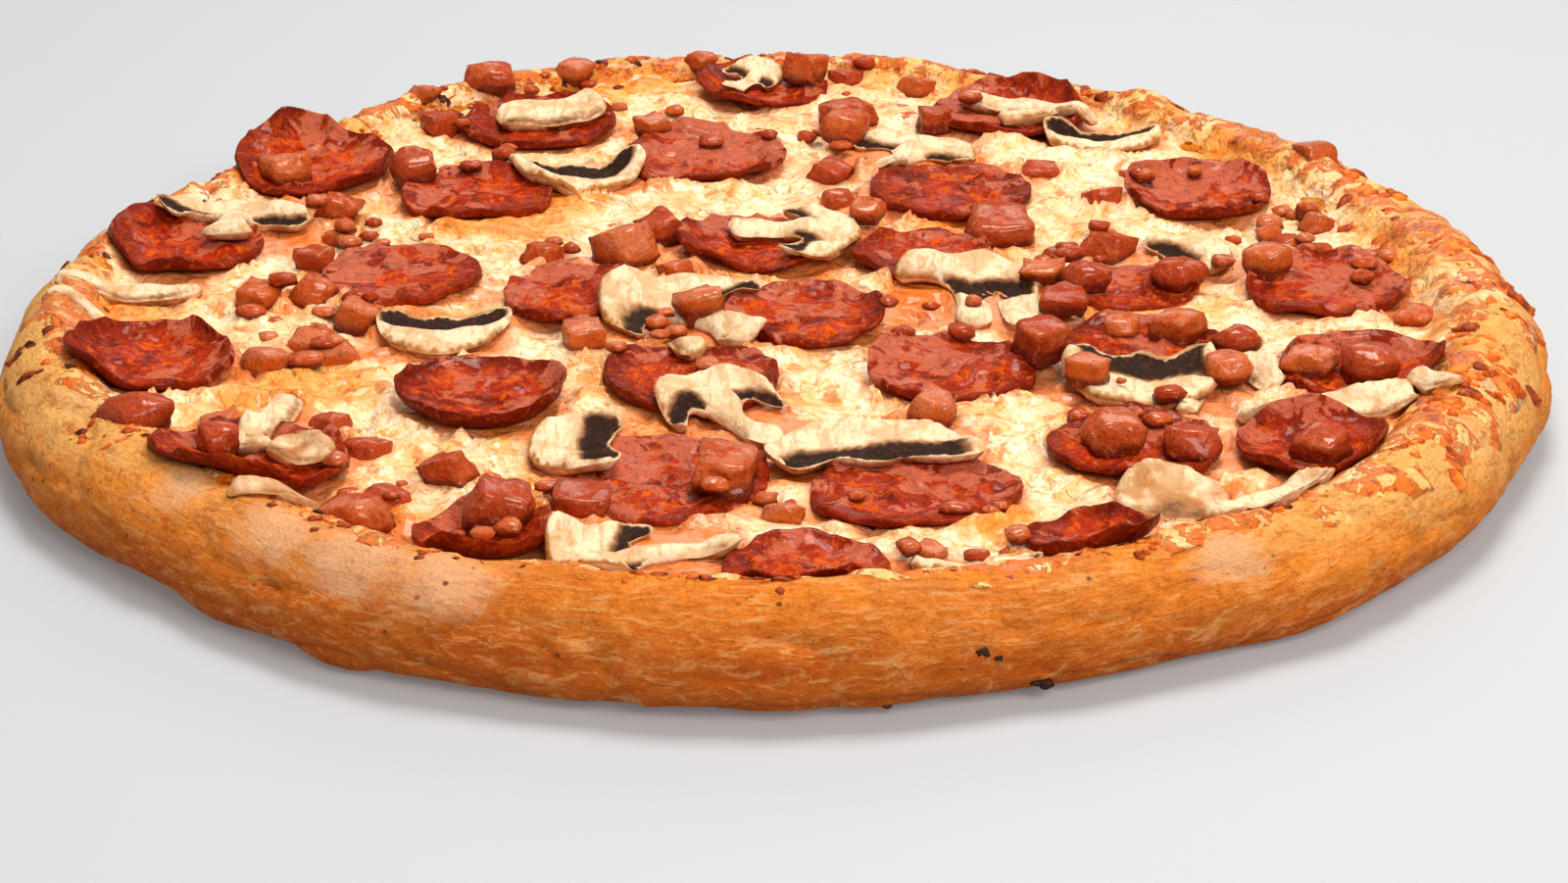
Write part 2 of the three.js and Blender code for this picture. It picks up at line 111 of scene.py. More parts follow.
# Pepperoni nodes in order: cup of the edge, its lift and towards where, how pink the top (partly the meat's
# own dull pink, partly a painted reflection of the light behind), how dark the edge
PEPPERONI = [
    (5, 6, 100, 0.2, 0.5), (3, 3, 270, 0.3, 0.5), (1, 1, 200, 0.6, 0.2), (6, 3, 60, 0.1, 0.6),
    (4, 3, 270, 0.1, 0.3), (4, 5, 300, 0.1, 0.4), (7, 1, 0, 0.1, 0.9), (1, 1, 90, 0.8, 0.2),
    (2, 3, 90, 0.1, 0.3), (1, 1, 0, 0.5, 0.4), (3, 4, 0, 0.1, 0.6), (5, 2, 270, 0.2, 0.5),
    (4, 5, 90, 0.3, 0.5), (4, 5, 90, 0.2, 0.6), (2, 1, 0, 0.3, 0.7), (2, 3, 180, 0.6, 0.5),
    (2, 1, 180, 0.2, 0.4), (2, 4, 190, 0.1, 0.5), (2, 1, 0, 0.4, 0.3), (2, 1, 180, 0.1, 0.8),
    (2, 4, 0, 0.4, 0.3), (4, 1, 90, 0.9, 0.6), (2, 5, 180, 0.2, 0.4), (4, 3, 90, 0.4, 0.4),
    (2, 1, 270, 0.1, 0.5), (6, 1, 90, 0.8, 0.5), (1, 1, 90, 0.5, 0.3), (3, 3, 90, 0.8, 0.4),
    (2, 1, 90, 0.2, 0.5), (4, 1, 90, 0.2, 0.5),
]

# Mushroom nodes in order: cut, width of the cap, depth to the stem, where the cap points, curl, tan share
MUSHROOMS = [
    ("whole", 36, 30, 90, 4, 0.1), ("strip", 34, 9, 95, 1, 0.3), ("cap", 30, 26, 270, 2, 0),
    ("strip", 28, 9, 170, 1, 0.3), ("cap", 32, 21, 180, 3, 0), ("whole", 27, 40, 190, 2, 0),
    ("cap", 44, 30, 90, 3, 0), ("cap", 26, 9, 270, 1, 0), ("chunk", 24, 20, 90, 1, 0.8),
    ("strip", 32, 13, 130, 2, 0.3), ("strip", 40, 12, 100, 2, 0.2), ("cap", 34, 28, 270, 3, 0),
    ("comb", 40, 38, 90, 2, 0.2), ("whole", 34, 32, 0, 3, 0), ("whole", 38, 44, 130, 3, 0),
    ("whole", 28, 38, 120, 3, 0.2), ("strip", 36, 8, 65, 1, 0.5), ("cap", 30, 15, 275, 2, 0),
    ("whole", 32, 28, 60, 2, 0), ("cap", 22, 20, 20, 2, 0), ("cap", 34, 24, 270, 2, 0),
    ("strip", 28, 18, 110, 1, 0.4),
]

# Mushroom bits too small for a node: centre, then the same values as above
MUSHROOM_BITS = [
    (-99, -90, "chunk", 16, 12, 60, 1, 0.9), (-101, -117, "strip", 20, 6, 100, 0, 0.9),
    (-157, -11, "strip", 20, 7, 60, 0, 0.6), (105, -43, "strip", 19, 8, 10, 1, 0.2),
    (-8, 152, "whole", 14, 22, 60, 1, 0), (-112, -84, "strip", 14, 6, 70, 1, 0.5),
    (63, 118, "strip", 18, 6, 120, 1, 0.3), (140, -60, "strip", 14, 6, 40, 1, 0.6),
    (-20, -32, "chunk", 12, 8, 20, 1, 0.2), (88, -58, "strip", 15, 6, 170, 1, 0.3),
]

# Outlines of the cuts in hundredths of their size, with the cap towards +v
CUTS = {
    "whole": [
        (-50, 0), (-46, 22), (-30, 42), (0, 50), (30, 42), (46, 22), (50, 0), (41, -10), (26, 3),
        (14, -2), (11, -22), (17, -42), (0, -50), (-16, -43), (-10, -22), (-14, -2), (-27, 3),
        (-42, -10),
    ],
    "cap": [
        (-50, -28), (-45, 10), (-28, 40), (0, 50), (28, 40), (45, 10), (50, -28), (36, -42), (16, -30),
        (0, -36), (-16, -30), (-36, -44),
    ],
    "strip": [
        (-50, 5), (-40, 42), (-10, 50), (20, 42), (45, 34), (50, -5), (42, -40), (10, -50), (-25, -40),
        (-44, -35),
    ],
    "chunk": [
        (-50, 5), (-40, 38), (-5, 50), (30, 40), (50, 10), (42, -30), (10, -50), (-30, -40),
    ],
    "comb": [
        (-50, 18), (-44, 40), (-20, 50), (15, 50), (42, 42), (50, 20), (32, 16), (27, -10), (28, -42),
        (16, -50), (8, -40), (7, -5), (4, 10), (0, -5), (-2, -40), (-12, -48), (-22, -38), (-20, -5),
        (-26, 16),
    ],
}

# Ham nodes in order: size across, deep and high
HAM = [(17, 13, 9), (17, 16, 12), (17, 16, 10), (16, 12, 9), (14, 16, 9.5), (13, 15, 10)]

# Smaller ham pieces: centre and size across
SMALL_HAM = [
    (-121, 83, 13), (-106, 60, 12), (-104, 43, 9), (-89, 79, 13), (-86, 120, 12), (-119, 1, 12),
    (-106, 2, 12), (-95, -10, 12), (-108, 24, 10), (-112, -36, 12), (-104, -25, 10), (-97, -32, 10),
    (-118, -68, 10), (-116, -88, 11), (-95, -68, 9), (-86, -83, 10), (-68, -97, 14), (-80, -107, 10),
    (-56, -121, 14), (-40, -114, 13), (1, -116, 9), (-28, 47, 13), (-24, 19, 9), (-55, 29, 10),
    (-43, -22, 11), (-18, -11, 12), (17, 125, 15), (17, 111, 13), (12, 86, 12), (14, 67, 9),
    (39, 121, 10), (64, 88, 9), (78, 68, 11), (21, 51, 9), (77, 34, 13), (66, 28, 10),
    (60, 12, 10), (70, 6, 11), (64, -9, 11), (91, 10, 12), (67, -52, 11), (88, -23, 12),
    (76, -20, 9), (97, -47, 11), (101, -31, 10), (112, 15, 13), (120, 37, 9), (128, 51, 10),
    (143, -9, 10), (115, -43, 12), (128, -47, 13), (70, -83, 13), (86, -87, 14), (113, -90, 14),
    (33, -67, 12), (30, -135, 8), (7, 155, 13), (-32, 115, 9), (-98, 146, 9), (-77, 151, 12),
    (-56, 164, 10), (-21, 165, 9), (17, 161, 9), (36, 152, 11), (131, 84, 11),
]

# Cream coloured patches on the rim: centre, spread and strength
CREAM_SPOTS = [
    (-82, -146, 13, 1), (-62, -156, 10, 1), (-100, -132, 9, 1), (-139, -66, 12, 1), (-148, -40, 8, 1),
    (-120, -112, 8, 1), (88, -142, 9, 1), (140, -84, 8, 1), (152, -58, 8, 1),
]

# Toasted or oily orange patches of the cheese: centre, spread and strength
TOAST_SPOTS = [
    (-150, -15, 18, 0.5), (-62, 50, 14, 0.3), (-58, 70, 12, 0.3), (43, 55, 12, 0.4), (40, 95, 10, 0.3),
    (-100, -52, 16, 0.3), (-15, 0, 12, 0.35), (35, 5, 14, 0.3), (100, -130, 16, 0.5), (150, 30, 22, 0.3),
    (120, 100, 20, 0.3), (-40, 160, 16, 0.4), (50, 155, 16, 0.3), (-120, 110, 14, 0.3), (-85, -125, 18, 0.4),
    (45, -120, 10, 0.4), (-30, -75, 10, 0.3), (130, -80, 16, 0.3),
]

# Fine ham crumbs lie in these patches: centre, spread and number
CRUMB_PATCHES = [
    (-105, 0, 18, 11), (-104, -30, 14, 8), (-100, 45, 16, 7), (-88, -100, 22, 9), (-45, -118, 20, 8),
    (-5, -112, 16, 5), (45, -128, 18, 8), (75, -62, 18, 7), (118, 30, 18, 9), (70, 20, 18, 9),
    (-35, 35, 18, 7), (10, 110, 22, 9), (90, 85, 22, 8), (-60, 150, 30, 8), (120, 60, 20, 9),
    (-30, -30, 24, 7), (30, -10, 24, 5), (-75, 100, 22, 7), (30, 155, 24, 7), (140, 20, 12, 5),
]

# Highest thing above the cheese that a fine crumb stays on
CRUMB_REST = 5

# Toasted crumbs on the rim: from and to angle, from and to share of its width, number, size and how dark
TOASTED_ZONES = [
    (-36, 40, 0.05, 0.75, 66, 3.1, 0.1),
    (40, 140, 0.1, 0.9, 44, 2.8, 0.45),
    (140, 215, 0.05, 0.7, 26, 2.2, 0.4),
    (215, 325, -0.05, 0.4, 40, 1.9, 0.3),
]

# Charred crumbs on the front of the rim: angle, height and size
CHARRED = [(283, 13, 2.6), (284, 11.5, 1.8), (287.5, 4, 2.6), (286.8, 4.6, 1.8), (277, 2.5, 1.6)]


def srgb(red, green, blue):
    """A colour from its everyday values of 0 to 255."""
    def linear(value):
        share = value / 255
        return share / 12.92 if share <= 0.04045 else ((share + 0.055) / 1.055) ** 2.4
    return (linear(red), linear(green), linear(blue))


def colour(name, description, *values):
    return bpy.props.FloatVectorProperty(
        name=name, description=description, subtype="COLOR", size=3, min=0, max=1, default=srgb(*values))


def length(name, description, value):
    return bpy.props.FloatProperty(
        name=name, description=description, subtype="DISTANCE", unit="LENGTH", min=0, default=value * MM)


class PizzaSizes(bpy.types.PropertyGroup):
    cheese_relief: length("Cheese relief", "Height of the melted cheese's bumps", 1.7)
    pepperoni_thickness: length("Pepperoni thickness", "Thickness of a pepperoni slice", 2.0)
    mushroom_thickness: length("Mushroom thickness", "Thickness of a mushroom slice", 3.4)
    dough_relief: length("Dough relief", "Height of the rim's bumps and hollows", 1.5)


class PizzaColours(bpy.types.PropertyGroup):
    dough: colour("Dough", "Golden baked rim", 255, 148, 46)
    # Browned dough darkens the rim's foot and pale dough lightens its top: partly baked colour, partly
    # painted shade below and painted light above.
    dough_brown_and_shade: colour("Browned dough", "Darker lower edge of the rim", 214, 98, 14)
    dough_pale_and_lit: colour("Pale dough", "Light patches near the cheese", 255, 190, 106)
    cheese: colour("Cheese", "Melted cheese", 255, 236, 200)
    toasted: colour("Toasted cheese", "Toasted patches of the cheese", 238, 140, 40)
    browned: colour("Browned cheese", "Darkest patches of the cheese", 164, 66, 8)
    pepperoni: colour("Pepperoni", "Red of the slices", 172, 42, 5)
    pepperoni_light: colour("Light pepperoni", "Orange red patches of the slices", 214, 86, 12)
    pepperoni_edge: colour("Pepperoni edge", "Dark crisp edges", 108, 22, 3)
    # The pink of the slices is partly their own dull colour and partly a painted reflection of the light
    # behind them.
    pepperoni_pink: colour("Pepperoni pink", "Dull pink tops of the flat slices", 190, 96, 70)
    mushroom: colour("Mushroom", "Flesh of the slices", 236, 210, 176)
    mushroom_skin: colour("Mushroom skin", "Tan skin and dried edges", 176, 108, 44)
    gills: colour("Gills", "Dark gills under the cap", 36, 15, 5)
    ham: colour("Ham", "Ham pieces", 180, 60, 14)
    # Dark ham is painted shade on the undersides and in the crevices of the ham.
    ham_painted_shade: colour("Dark ham", "Undersides and crevices of the ham", 108, 24, 4)
    # Pink ham is partly the ham's own mauve and partly painted light on tops that face up.
    ham_pink: colour("Pink ham", "Tops of the ham pieces", 208, 110, 72)


# Noise and smooth curves

def hashed(cell, seed):
    """A random value from -1 to 1 for each whole place, always the same for the same seed."""
    number = (cell[..., 0] * 374761393 + cell[..., 1] * 668265263 + cell[..., 2] * 974634777
              + seed * 1274126177) & 0xFFFFFFFF
    number = ((number ^ (number >> 13)) * 1274126177) & 0xFFFFFFFF
    return ((number ^ (number >> 16)) & 0xFFFF) / 32767.5 - 1.0


def noise(places, size, seed):
    """Smooth noise from -1 to 1 with features about size across, at an array of places."""
    scaled = np.asarray(places, dtype=float) / size + 512.0
    cell = np.floor(scaled).astype(np.int64)
    share = scaled - cell
    share = share * share * (3 - 2 * share)
    total = np.zeros(len(scaled))
    for corner in np.ndindex(2, 2, 2):
        offset = np.array(corner)
        weight = np.prod(np.where(offset == 1, share, 1 - share), axis=1)
        total += weight * hashed(cell + offset, seed)
    return total


def rough_noise(places, size, seed, layers=3):
    """Layers of noise, each half as large and half as strong."""
    total = np.zeros(len(places))
    for layer in range(layers):
        total += noise(places, size / 2 ** layer, seed + layer) / 2 ** layer
    return total


def smoothstep(low, high, value):
    share = np.clip((value - low) / (high - low), 0, 1)
    return share * share * (3 - 2 * share)


def as_points(*columns):
    """Points from their coordinates, or from points and one more coordinate."""
    return np.column_stack(columns)


def polar(places):
    """Each point's distance from the z axis and its angle round it."""
    return np.hypot(places[:, 0], places[:, 1]), np.arctan2(places[:, 1], places[:, 0])


def spotted(x, y, spots):
    """How strongly soft round spots cover each place."""
    cover = np.zeros(len(x))
    for spot_x, spot_y, spread, strength in spots:
        cover += strength * np.exp(-(np.hypot(x - spot_x, y - spot_y) / spread) ** 2)
    return cover


def around(values, angle):
    """A smooth closed curve through even steps round the circle."""
    count = len(values)
    step = (np.asarray(angle) / TURN % 1) * count
    first = np.floor(step).astype(int)
    t = step - first
    table = np.array(values, dtype=float)

    def at(offset):
        return table[(first + offset) % count]

    slope = (at(1) - at(-1)) / 2
    next_slope = (at(2) - at(0)) / 2
    rise = at(1) - at(0)
    return at(0) + t * (slope + t * (3 * rise - 2 * slope - next_slope + t * (slope + next_slope - 2 * rise)))


def smooth_line(points, steps, closed=False):
    """More points on a smooth curve through the given ones."""
    count = len(points)
    stretches = count if closed else count - 1
    line = []
    for i in range(stretches):
        def point(offset):
            index = (i + offset) % count if closed else min(max(i + offset, 0), count - 1)
            return np.array(points[index], dtype=float)
        before, start, end, after = point(-1), point(0), point(1), point(2)
        bend = 2 * before - 5 * start + 4 * end - after
        twist = 3 * start - before - 3 * end + after
        for t in np.arange(steps) / steps:
            line.append(0.5 * (2 * start + (end - before) * t + bend * t ** 2 + twist * t ** 3))
    if not closed:
        line.append(np.array(points[-1], dtype=float))
    return np.array(line)


# The dough's outline and the surface on which the toppings lie, in millimetres

def lumps(angle, seed):
    return (np.sin(5 * angle + seed) + 0.7 * np.sin(9 * angle + 2 * seed)
            + 0.5 * np.sin(16 * angle + 3 * seed))


def rim_at(angle):
    """The outline's radius, the rim's width and its height at each angle."""
    return (RADIUS + around(OUTLINE, angle) + LUMP * lumps(angle, 1),
            around(RIM_WIDTHS, angle) + LUMP * lumps(angle, 2),
            around(RIM_HEIGHTS, angle) + LUMP * lumps(angle, 4))


def outline_at(angle):
    """The outline's radius at one angle."""
    return rim_at(np.array([angle]))[0][0]


def raised(z, height):
    share = (z - CHEESE_LEVEL) / (RIM_HEIGHT - CHEESE_LEVEL)
    return np.where(z > CHEESE_LEVEL, CHEESE_LEVEL + share * (height - CHEESE_LEVEL), z)


def on_rim(places):
    """Moves points of the nominal round dough to the uneven one."""
    nominal, angle = polar(places)
    z = places[:, 2]
    radius, width, height = rim_at(angle)
    outer = nominal + radius - RADIUS
    upper = radius - (RADIUS - nominal) * width / RIM_WIDTH
    blend = smoothstep(CHEESE_LEVEL - 3, CHEESE_LEVEL + 1, z)
    r = np.where(nominal < LIP_RADIUS + 0.1, nominal * (radius - width) / LIP_RADIUS,
                 outer * (1 - blend) + upper * blend)
    return as_points(r * np.cos(angle), r * np.sin(angle), raised(z, height))


def bed_height(x, y):
    """Height of the cheese, and of the rim outside it."""
    radius, width, height = rim_at(np.arctan2(y, x))
    nominal = RADIUS - (radius - np.hypot(x, y)) * RIM_WIDTH / width
    line = smooth_line(RIM_TOP, 6)
    z = np.interp(nominal, line[:, 0], line[:, 1])
    return np.where(nominal <= LIP_RADIUS, CHEESE_LEVEL, raised(z, height))


def dough_swell(places, across, relief):
    """How far the rim's surface stands out from its even form: swellings, folds and a fine skin."""
    swell = rough_noise(places, 44, 3, 2) + 0.5 * noise(places, 14, 8)
    fold = (1 - np.abs(noise(places * (1, 1, 2.2), 22, 15))) ** 8
    level = 7 + 3 * noise(places * (1, 1, 0), 45, 33)
    broken = smoothstep(-0.2, 0.5, noise(places * (1, 1, 0), 60, 35))
    crease = np.exp(-((places[:, 2] - level) / 1.4) ** 2) * broken
    skin = 0.3 * noise(places, 5, 21) + 0.12 * noise(places, 2.2, 27) - 0.9 * crease
    return (relief * swell - 1.1 * fold) * smoothstep(0.1, 0.5, across) + skin * smoothstep(0, 0.05, across)


def crust_surface(x, y, relief):
    """Height of the cheese, and of the uneven rim outside it."""
    radius, width, _ = rim_at(np.arctan2(y, x))
    across = np.clip(1 - (radius - np.hypot(x, y)) / width, 0, 1)
    bed = bed_height(x, y)
    return bed + 0.8 * dough_swell(as_points(x, y, bed), across, relief)


class Terrain:
    """The height of what lies on top at each place, on a grid of one millimetre."""

    reach = 190

    def __init__(self):
        line = np.arange(-self.reach, self.reach + 1, dtype=float)
        self.x, self.y = np.meshgrid(line, line, indexing="ij")
        self.bed = bed_height(self.x.ravel(), self.y.ravel()).reshape(self.x.shape)
        self.top = self.bed.copy()

    def cells(self, places):
        return tuple(np.clip(np.rint(places[:, axis] + self.reach).astype(int), 0, 2 * self.reach)
                     for axis in (0, 1))

    def cover(self, places):
        """Raises the ground to the points of a piece just laid."""
        i, j = self.cells(places)
        for step_i, step_j in np.ndindex(3, 3):
            beside = (np.clip(cell, 0, 2 * self.reach) for cell in (i + step_i - 1, j + step_j - 1))
            np.maximum.at(self.top, tuple(beside), places[:, 2])

    def softened(self, grid, spread):
        for axis in (0, 1):
            grid = sum(np.roll(grid, step, axis) for step in range(-spread, spread + 1)) / (2 * spread + 1)
        return grid

    def under(self, places, spread=2):
        """The softened height of the ground under each point."""
        low = places[:, :2].min(axis=0) - 4 * spread
        high = places[:, :2].max(axis=0) + 4 * spread
        (x0, x1), (y0, y1) = self.cells(np.array([[*low, 0], [*high, 0]]))
        patch = self.softened(self.top[x0:x1 + 1, y0:y1 + 1], spread)
        x = places[:, 0] + self.reach - x0
        y = places[:, 1] + self.reach - y0
        i = np.clip(np.floor(x).astype(int), 0, patch.shape[0] - 2)
        j = np.clip(np.floor(y).astype(int), 0, patch.shape[1] - 2)
        s, t = np.clip(x - i, 0, 1), np.clip(y - j, 0, 1)
        return (patch[i, j] * (1 - s) * (1 - t) + patch[i + 1, j] * s * (1 - t)
                + patch[i, j + 1] * (1 - s) * t + patch[i + 1, j + 1] * s * t)

    def rise_at(self, x, y):
        i, j = self.cells(np.array([[x, y, 0.0]]))
        return (self.top - self.bed)[i, j][0]

    def covered(self, spread):
        """Where something lies over the cheese, from 0 to 1, softened."""
        return self.softened((self.top > self.bed + 0.8).astype(float), spread)


TERRAIN = Terrain()


# Meshes

def numbered(kind, index):
    """The name of a node of a kind, in the order of its table."""
    return f"{kind}_{index + 1:02}"


def set_mode(mode):
    bpy.ops.object.mode_set(mode=mode)


def deselect():
    if bpy.context.object and bpy.context.object.mode != "OBJECT":
        set_mode("OBJECT")
    bpy.ops.object.select_all(action="DESELECT")


def make_active(piece):
    deselect()
    piece.select_set(True)
    bpy.context.view_layer.objects.active = piece


def face_outwards(piece):
    make_active(piece)
    set_mode("EDIT")
    bpy.ops.mesh.select_all(action="SELECT")
    bpy.ops.mesh.normals_make_consistent(inside=False)
    set_mode("OBJECT")


def new_piece(name, points, edges=(), faces=()):
    mesh = bpy.data.meshes.new(name)
    mesh.from_pydata([tuple(point) for point in points], list(edges), list(faces))
    piece = bpy.data.objects.new(name, mesh)
    bpy.context.collection.objects.link(piece)
    return piece


def spun(name, section, steps):
    """A half section turned all the way round the z axis into a closed solid, in millimetres."""
    points = [(r, 0, z) for r, z in section]
    piece = new_piece(name, points, [(i, i + 1) for i in range(len(points) - 1)])
    make_active(piece)
    set_mode("EDIT")
    bpy.ops.mesh.select_all(action="SELECT")
    bpy.ops.mesh.spin(steps=steps, angle=TURN, center=(0, 0, 0), axis=(0, 0, 1))
    bpy.ops.mesh.select_all(action="SELECT")
    bpy.ops.mesh.remove_doubles(threshold=0.0005)
    bpy.ops.mesh.normals_make_consistent(inside=False)
    set_mode("OBJECT")
    return piece


def points_of(piece, kind="co"):
    """The place of each point, or its normal."""
    flat = np.empty(3 * len(piece.data.vertices))
    piece.data.vertices.foreach_get(kind, flat)
    return flat.reshape(-1, 3)


def move_points(piece, places):
    piece.data.vertices.foreach_set("co", np.asarray(places, dtype=float).ravel())
    piece.data.update()


def paint(piece, **values):
    """Keeps a value for each point, for the finish to read."""
    for name, value in values.items():
        layer = piece.data.attributes.new(name, "FLOAT", "POINT")
        layer.data.foreach_set("value", np.asarray(value, dtype=float))


def paint_places(piece, name, places):
    """Keeps a place for each point, for the finish to lay a noise along."""
    layer = piece.data.attributes.new(name, "FLOAT_VECTOR", "POINT")
    layer.data.foreach_set("vector", np.ravel(places) * MM)


def finish_piece(piece, slot, *nodes):
    """Turns a piece made in millimetres to metres, gives it its finish and fixes it to the body."""
    move_points(piece, points_of(piece) * MM)
    piece.data.shade_smooth()
    piece.data.materials.append(bpy.data.materials["finish_" + slot])
    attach(piece, BODY)
    if nodes:
        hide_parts(*nodes)


def place_of(node):
    """Centre x and y of a node of the solids, and its width and depth."""
    low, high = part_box(node)
    centre = [(low[axis] + high[axis]) / 2 / MM for axis in range(2)]
    return *centre, *[(high[axis] - low[axis]) / MM for axis in range(2)]


# Finishes

def arithmetic(operation, reflected=False):
    """A method that adds the Math node of an operation on a socket and another value."""
    def act(self, other):
        first, second = (other, self) if reflected else (self, other)
        return self.finish.add("ShaderNodeMath", {"operation": operation}, {0: first, 1: second})
    return act


class Value:
    """A socket of a finish, which can be used in plain arithmetic."""

    def __init__(self, finish, socket):
        self.finish = finish
        self.socket = socket

    __add__ = arithmetic("ADD")
    __radd__ = arithmetic("ADD", reflected=True)
    __sub__ = arithmetic("SUBTRACT")
    __rsub__ = arithmetic("SUBTRACT", reflected=True)
    __mul__ = arithmetic("MULTIPLY")
    __rmul__ = arithmetic("MULTIPLY", reflected=True)

    def between(self, low, high):
        """0 at low and 1 at high, smooth in between."""
        return self.finish.add("ShaderNodeMapRange", {"interpolation_type": "SMOOTHSTEP"},
                               {"Value": self, "From Min": low, "From Max": high})


class Finish:
    """A material built from nodes."""

    def __init__(self, name):
        material = bpy.data.materials.new("finish_" + name)
        material.use_nodes = True
        self.tree = material.node_tree
        self.tree.nodes.clear()
        self.shader = self.tree.nodes.new("ShaderNodeBsdfPrincipled")
        output = self.tree.nodes.new("ShaderNodeOutputMaterial")
        self.tree.links.new(self.shader.outputs[0], output.inputs[0])
        self.place = self.add("ShaderNodeTexCoord", {}, {}, "Object")
        self.tone = None

    def connect(self, node, key, value):
        if isinstance(value, Value):
            self.tree.links.new(value.socket, node.inputs[key])
        elif hasattr(value, "__len__") and len(value) == 3 and node.inputs[key].type == "RGBA":
            node.inputs[key].default_value = (*value, 1)
        else:
            node.inputs[key].default_value = value

    def add(self, kind, settings, links, output=0):
        """Adds a node, with its settings first and then its sockets' values or links."""
        node = self.tree.nodes.new(kind)
        for name, setting in settings.items():
            setattr(node, name, setting)
        for key, value in links.items():
            self.connect(node, key, value)
        return Value(self, node.outputs[output])

    def noise(self, size, detail=3.0, rough=0.55, warp=0.0, place=None):
        links = {"Vector": place or self.place, "Scale": 1 / (size * MM), "Detail": detail,
                 "Roughness": rough, "Distortion": warp}
        return self.add("ShaderNodeTexNoise", {}, links)

    def cells(self, size):
        """Distance from the middle of the nearest cell."""
        links = {"Vector": self.place, "Scale": 1 / (size * MM)}
        return self.add("ShaderNodeTexVoronoi", {}, links, "Distance")

    def stretched(self, x, y, z):
        """The place with each axis multiplied, so that a noise at it is squeezed along that axis."""
        return self.add("ShaderNodeVectorMath", {"operation": "MULTIPLY"}, {0: self.place, 1: (x, y, z)})

    def painted(self, *names, output="Fac"):
        """The values painted on a piece's points, by their names."""
        return [self.add("ShaderNodeAttribute", {"attribute_name": name}, {}, output) for name in names]

    def upward(self):
        """How far the surface faces up, from -1 to 1."""
        normal = self.add("ShaderNodeNewGeometry", {}, {}, "Normal")
        return self.add("ShaderNodeSeparateXYZ", {}, {0: normal}, "Z")

    def mix(self, share, first, second):
        return self.add("ShaderNodeMix", {"data_type": "RGBA"}, {0: share, 6: first, 7: second}, 2)

    def over(self, share, colour):
        """Lays a colour over the tone so far, where the share says."""
        self.tone = self.mix(share, self.tone, colour)

    def bump(self, height, distance, strength=1.0, below=None):
        links = {"Height": height, "Distance": distance * MM, "Strength": strength}
        if below:
            links["Normal"] = below
        return self.add("ShaderNodeBump", {}, links)

    def set(self, **values):
        """Sets or links the shader's own sockets."""
        for name, value in values.items():
            self.connect(self.shader, name.replace("_", " ").title().replace("Ior", "IOR"), value)


def dough_finish(colours):
    finish = Finish("crust")
    rise, inner, brown, cream = finish.painted("rise", "inner", "brown", "cream")
    broad = finish.noise(30, 4, 0.6)
    patchy = finish.noise(9, 6, 0.7, 0.4, finish.stretched(1, 1, 2.2))
    fine = finish.noise(1.8, 6, 0.72, 0, finish.stretched(1, 1, 1.8))
    flecks = finish.noise(3.6, 5, 0.7, 1.6)
    # The colour follows the height on the rim: darker brown at its foot and paler on top, partly the dough's
    # browning and partly painted shade and painted light from the lamp above.
    level = rise + (broad - 0.5) * 0.9 + (patchy - 0.5) * 0.9 - brown * 0.4 + 0.06
    finish.tone = finish.mix(level.between(-0.05, 0.5), colours.dough_brown_and_shade, colours.dough)
    finish.over(level.between(0.45, 0.9), colours.dough_pale_and_lit)
    blush = (patchy * 0.65 + broad * 0.35 + brown * 0.08).between(0.53, 0.63)
    finish.over(blush * 0.6, srgb(216, 110, 30))
    finish.over((1 - fine).between(0.5, 0.66) * 0.5, srgb(176, 86, 26))
    finish.over(fine.between(0.54, 0.7) * 0.45, srgb(255, 184, 116))
    brushed = finish.noise(2.6, 6, 0.68, 1.0, *finish.painted("grain", output="Vector"))
    finish.over(brushed.between(0.5, 0.64) * 0.5, srgb(255, 188, 118))
    finish.over((1 - brushed).between(0.52, 0.66) * 0.5, srgb(184, 82, 14))
    pale = (cream + (patchy - 0.5) * 1.6).between(0.2, 1.0)
    finish.over(pale * 0.6, srgb(255, 202, 160))
    golden = inner * finish.noise(7, 4, 0.7).between(0.46, 0.6)
    finish.over(golden * 0.85, srgb(236, 142, 30))
    for low, high, shade in ((0.63, 0.66, srgb(196, 78, 16)), (0.69, 0.73, srgb(112, 38, 8))):
        finish.over((flecks + inner * 0.1).between(low, high) * inner.between(0.1, 0.45), shade)
    speck = (1 - finish.cells(5)).between(0.84, 0.93) * finish.noise(16).between(0.5, 0.62)
    finish.over(speck * 0.85, srgb(104, 42, 12))
    finish.set(base_color=finish.tone, roughness=0.6 + 0.25 * patchy, specular_ior_level=0.12)
    coarse = finish.bump(patchy, 3.4, 0.85)
    finish.set(normal=finish.bump(fine + brushed, 1.1, 0.9, coarse))


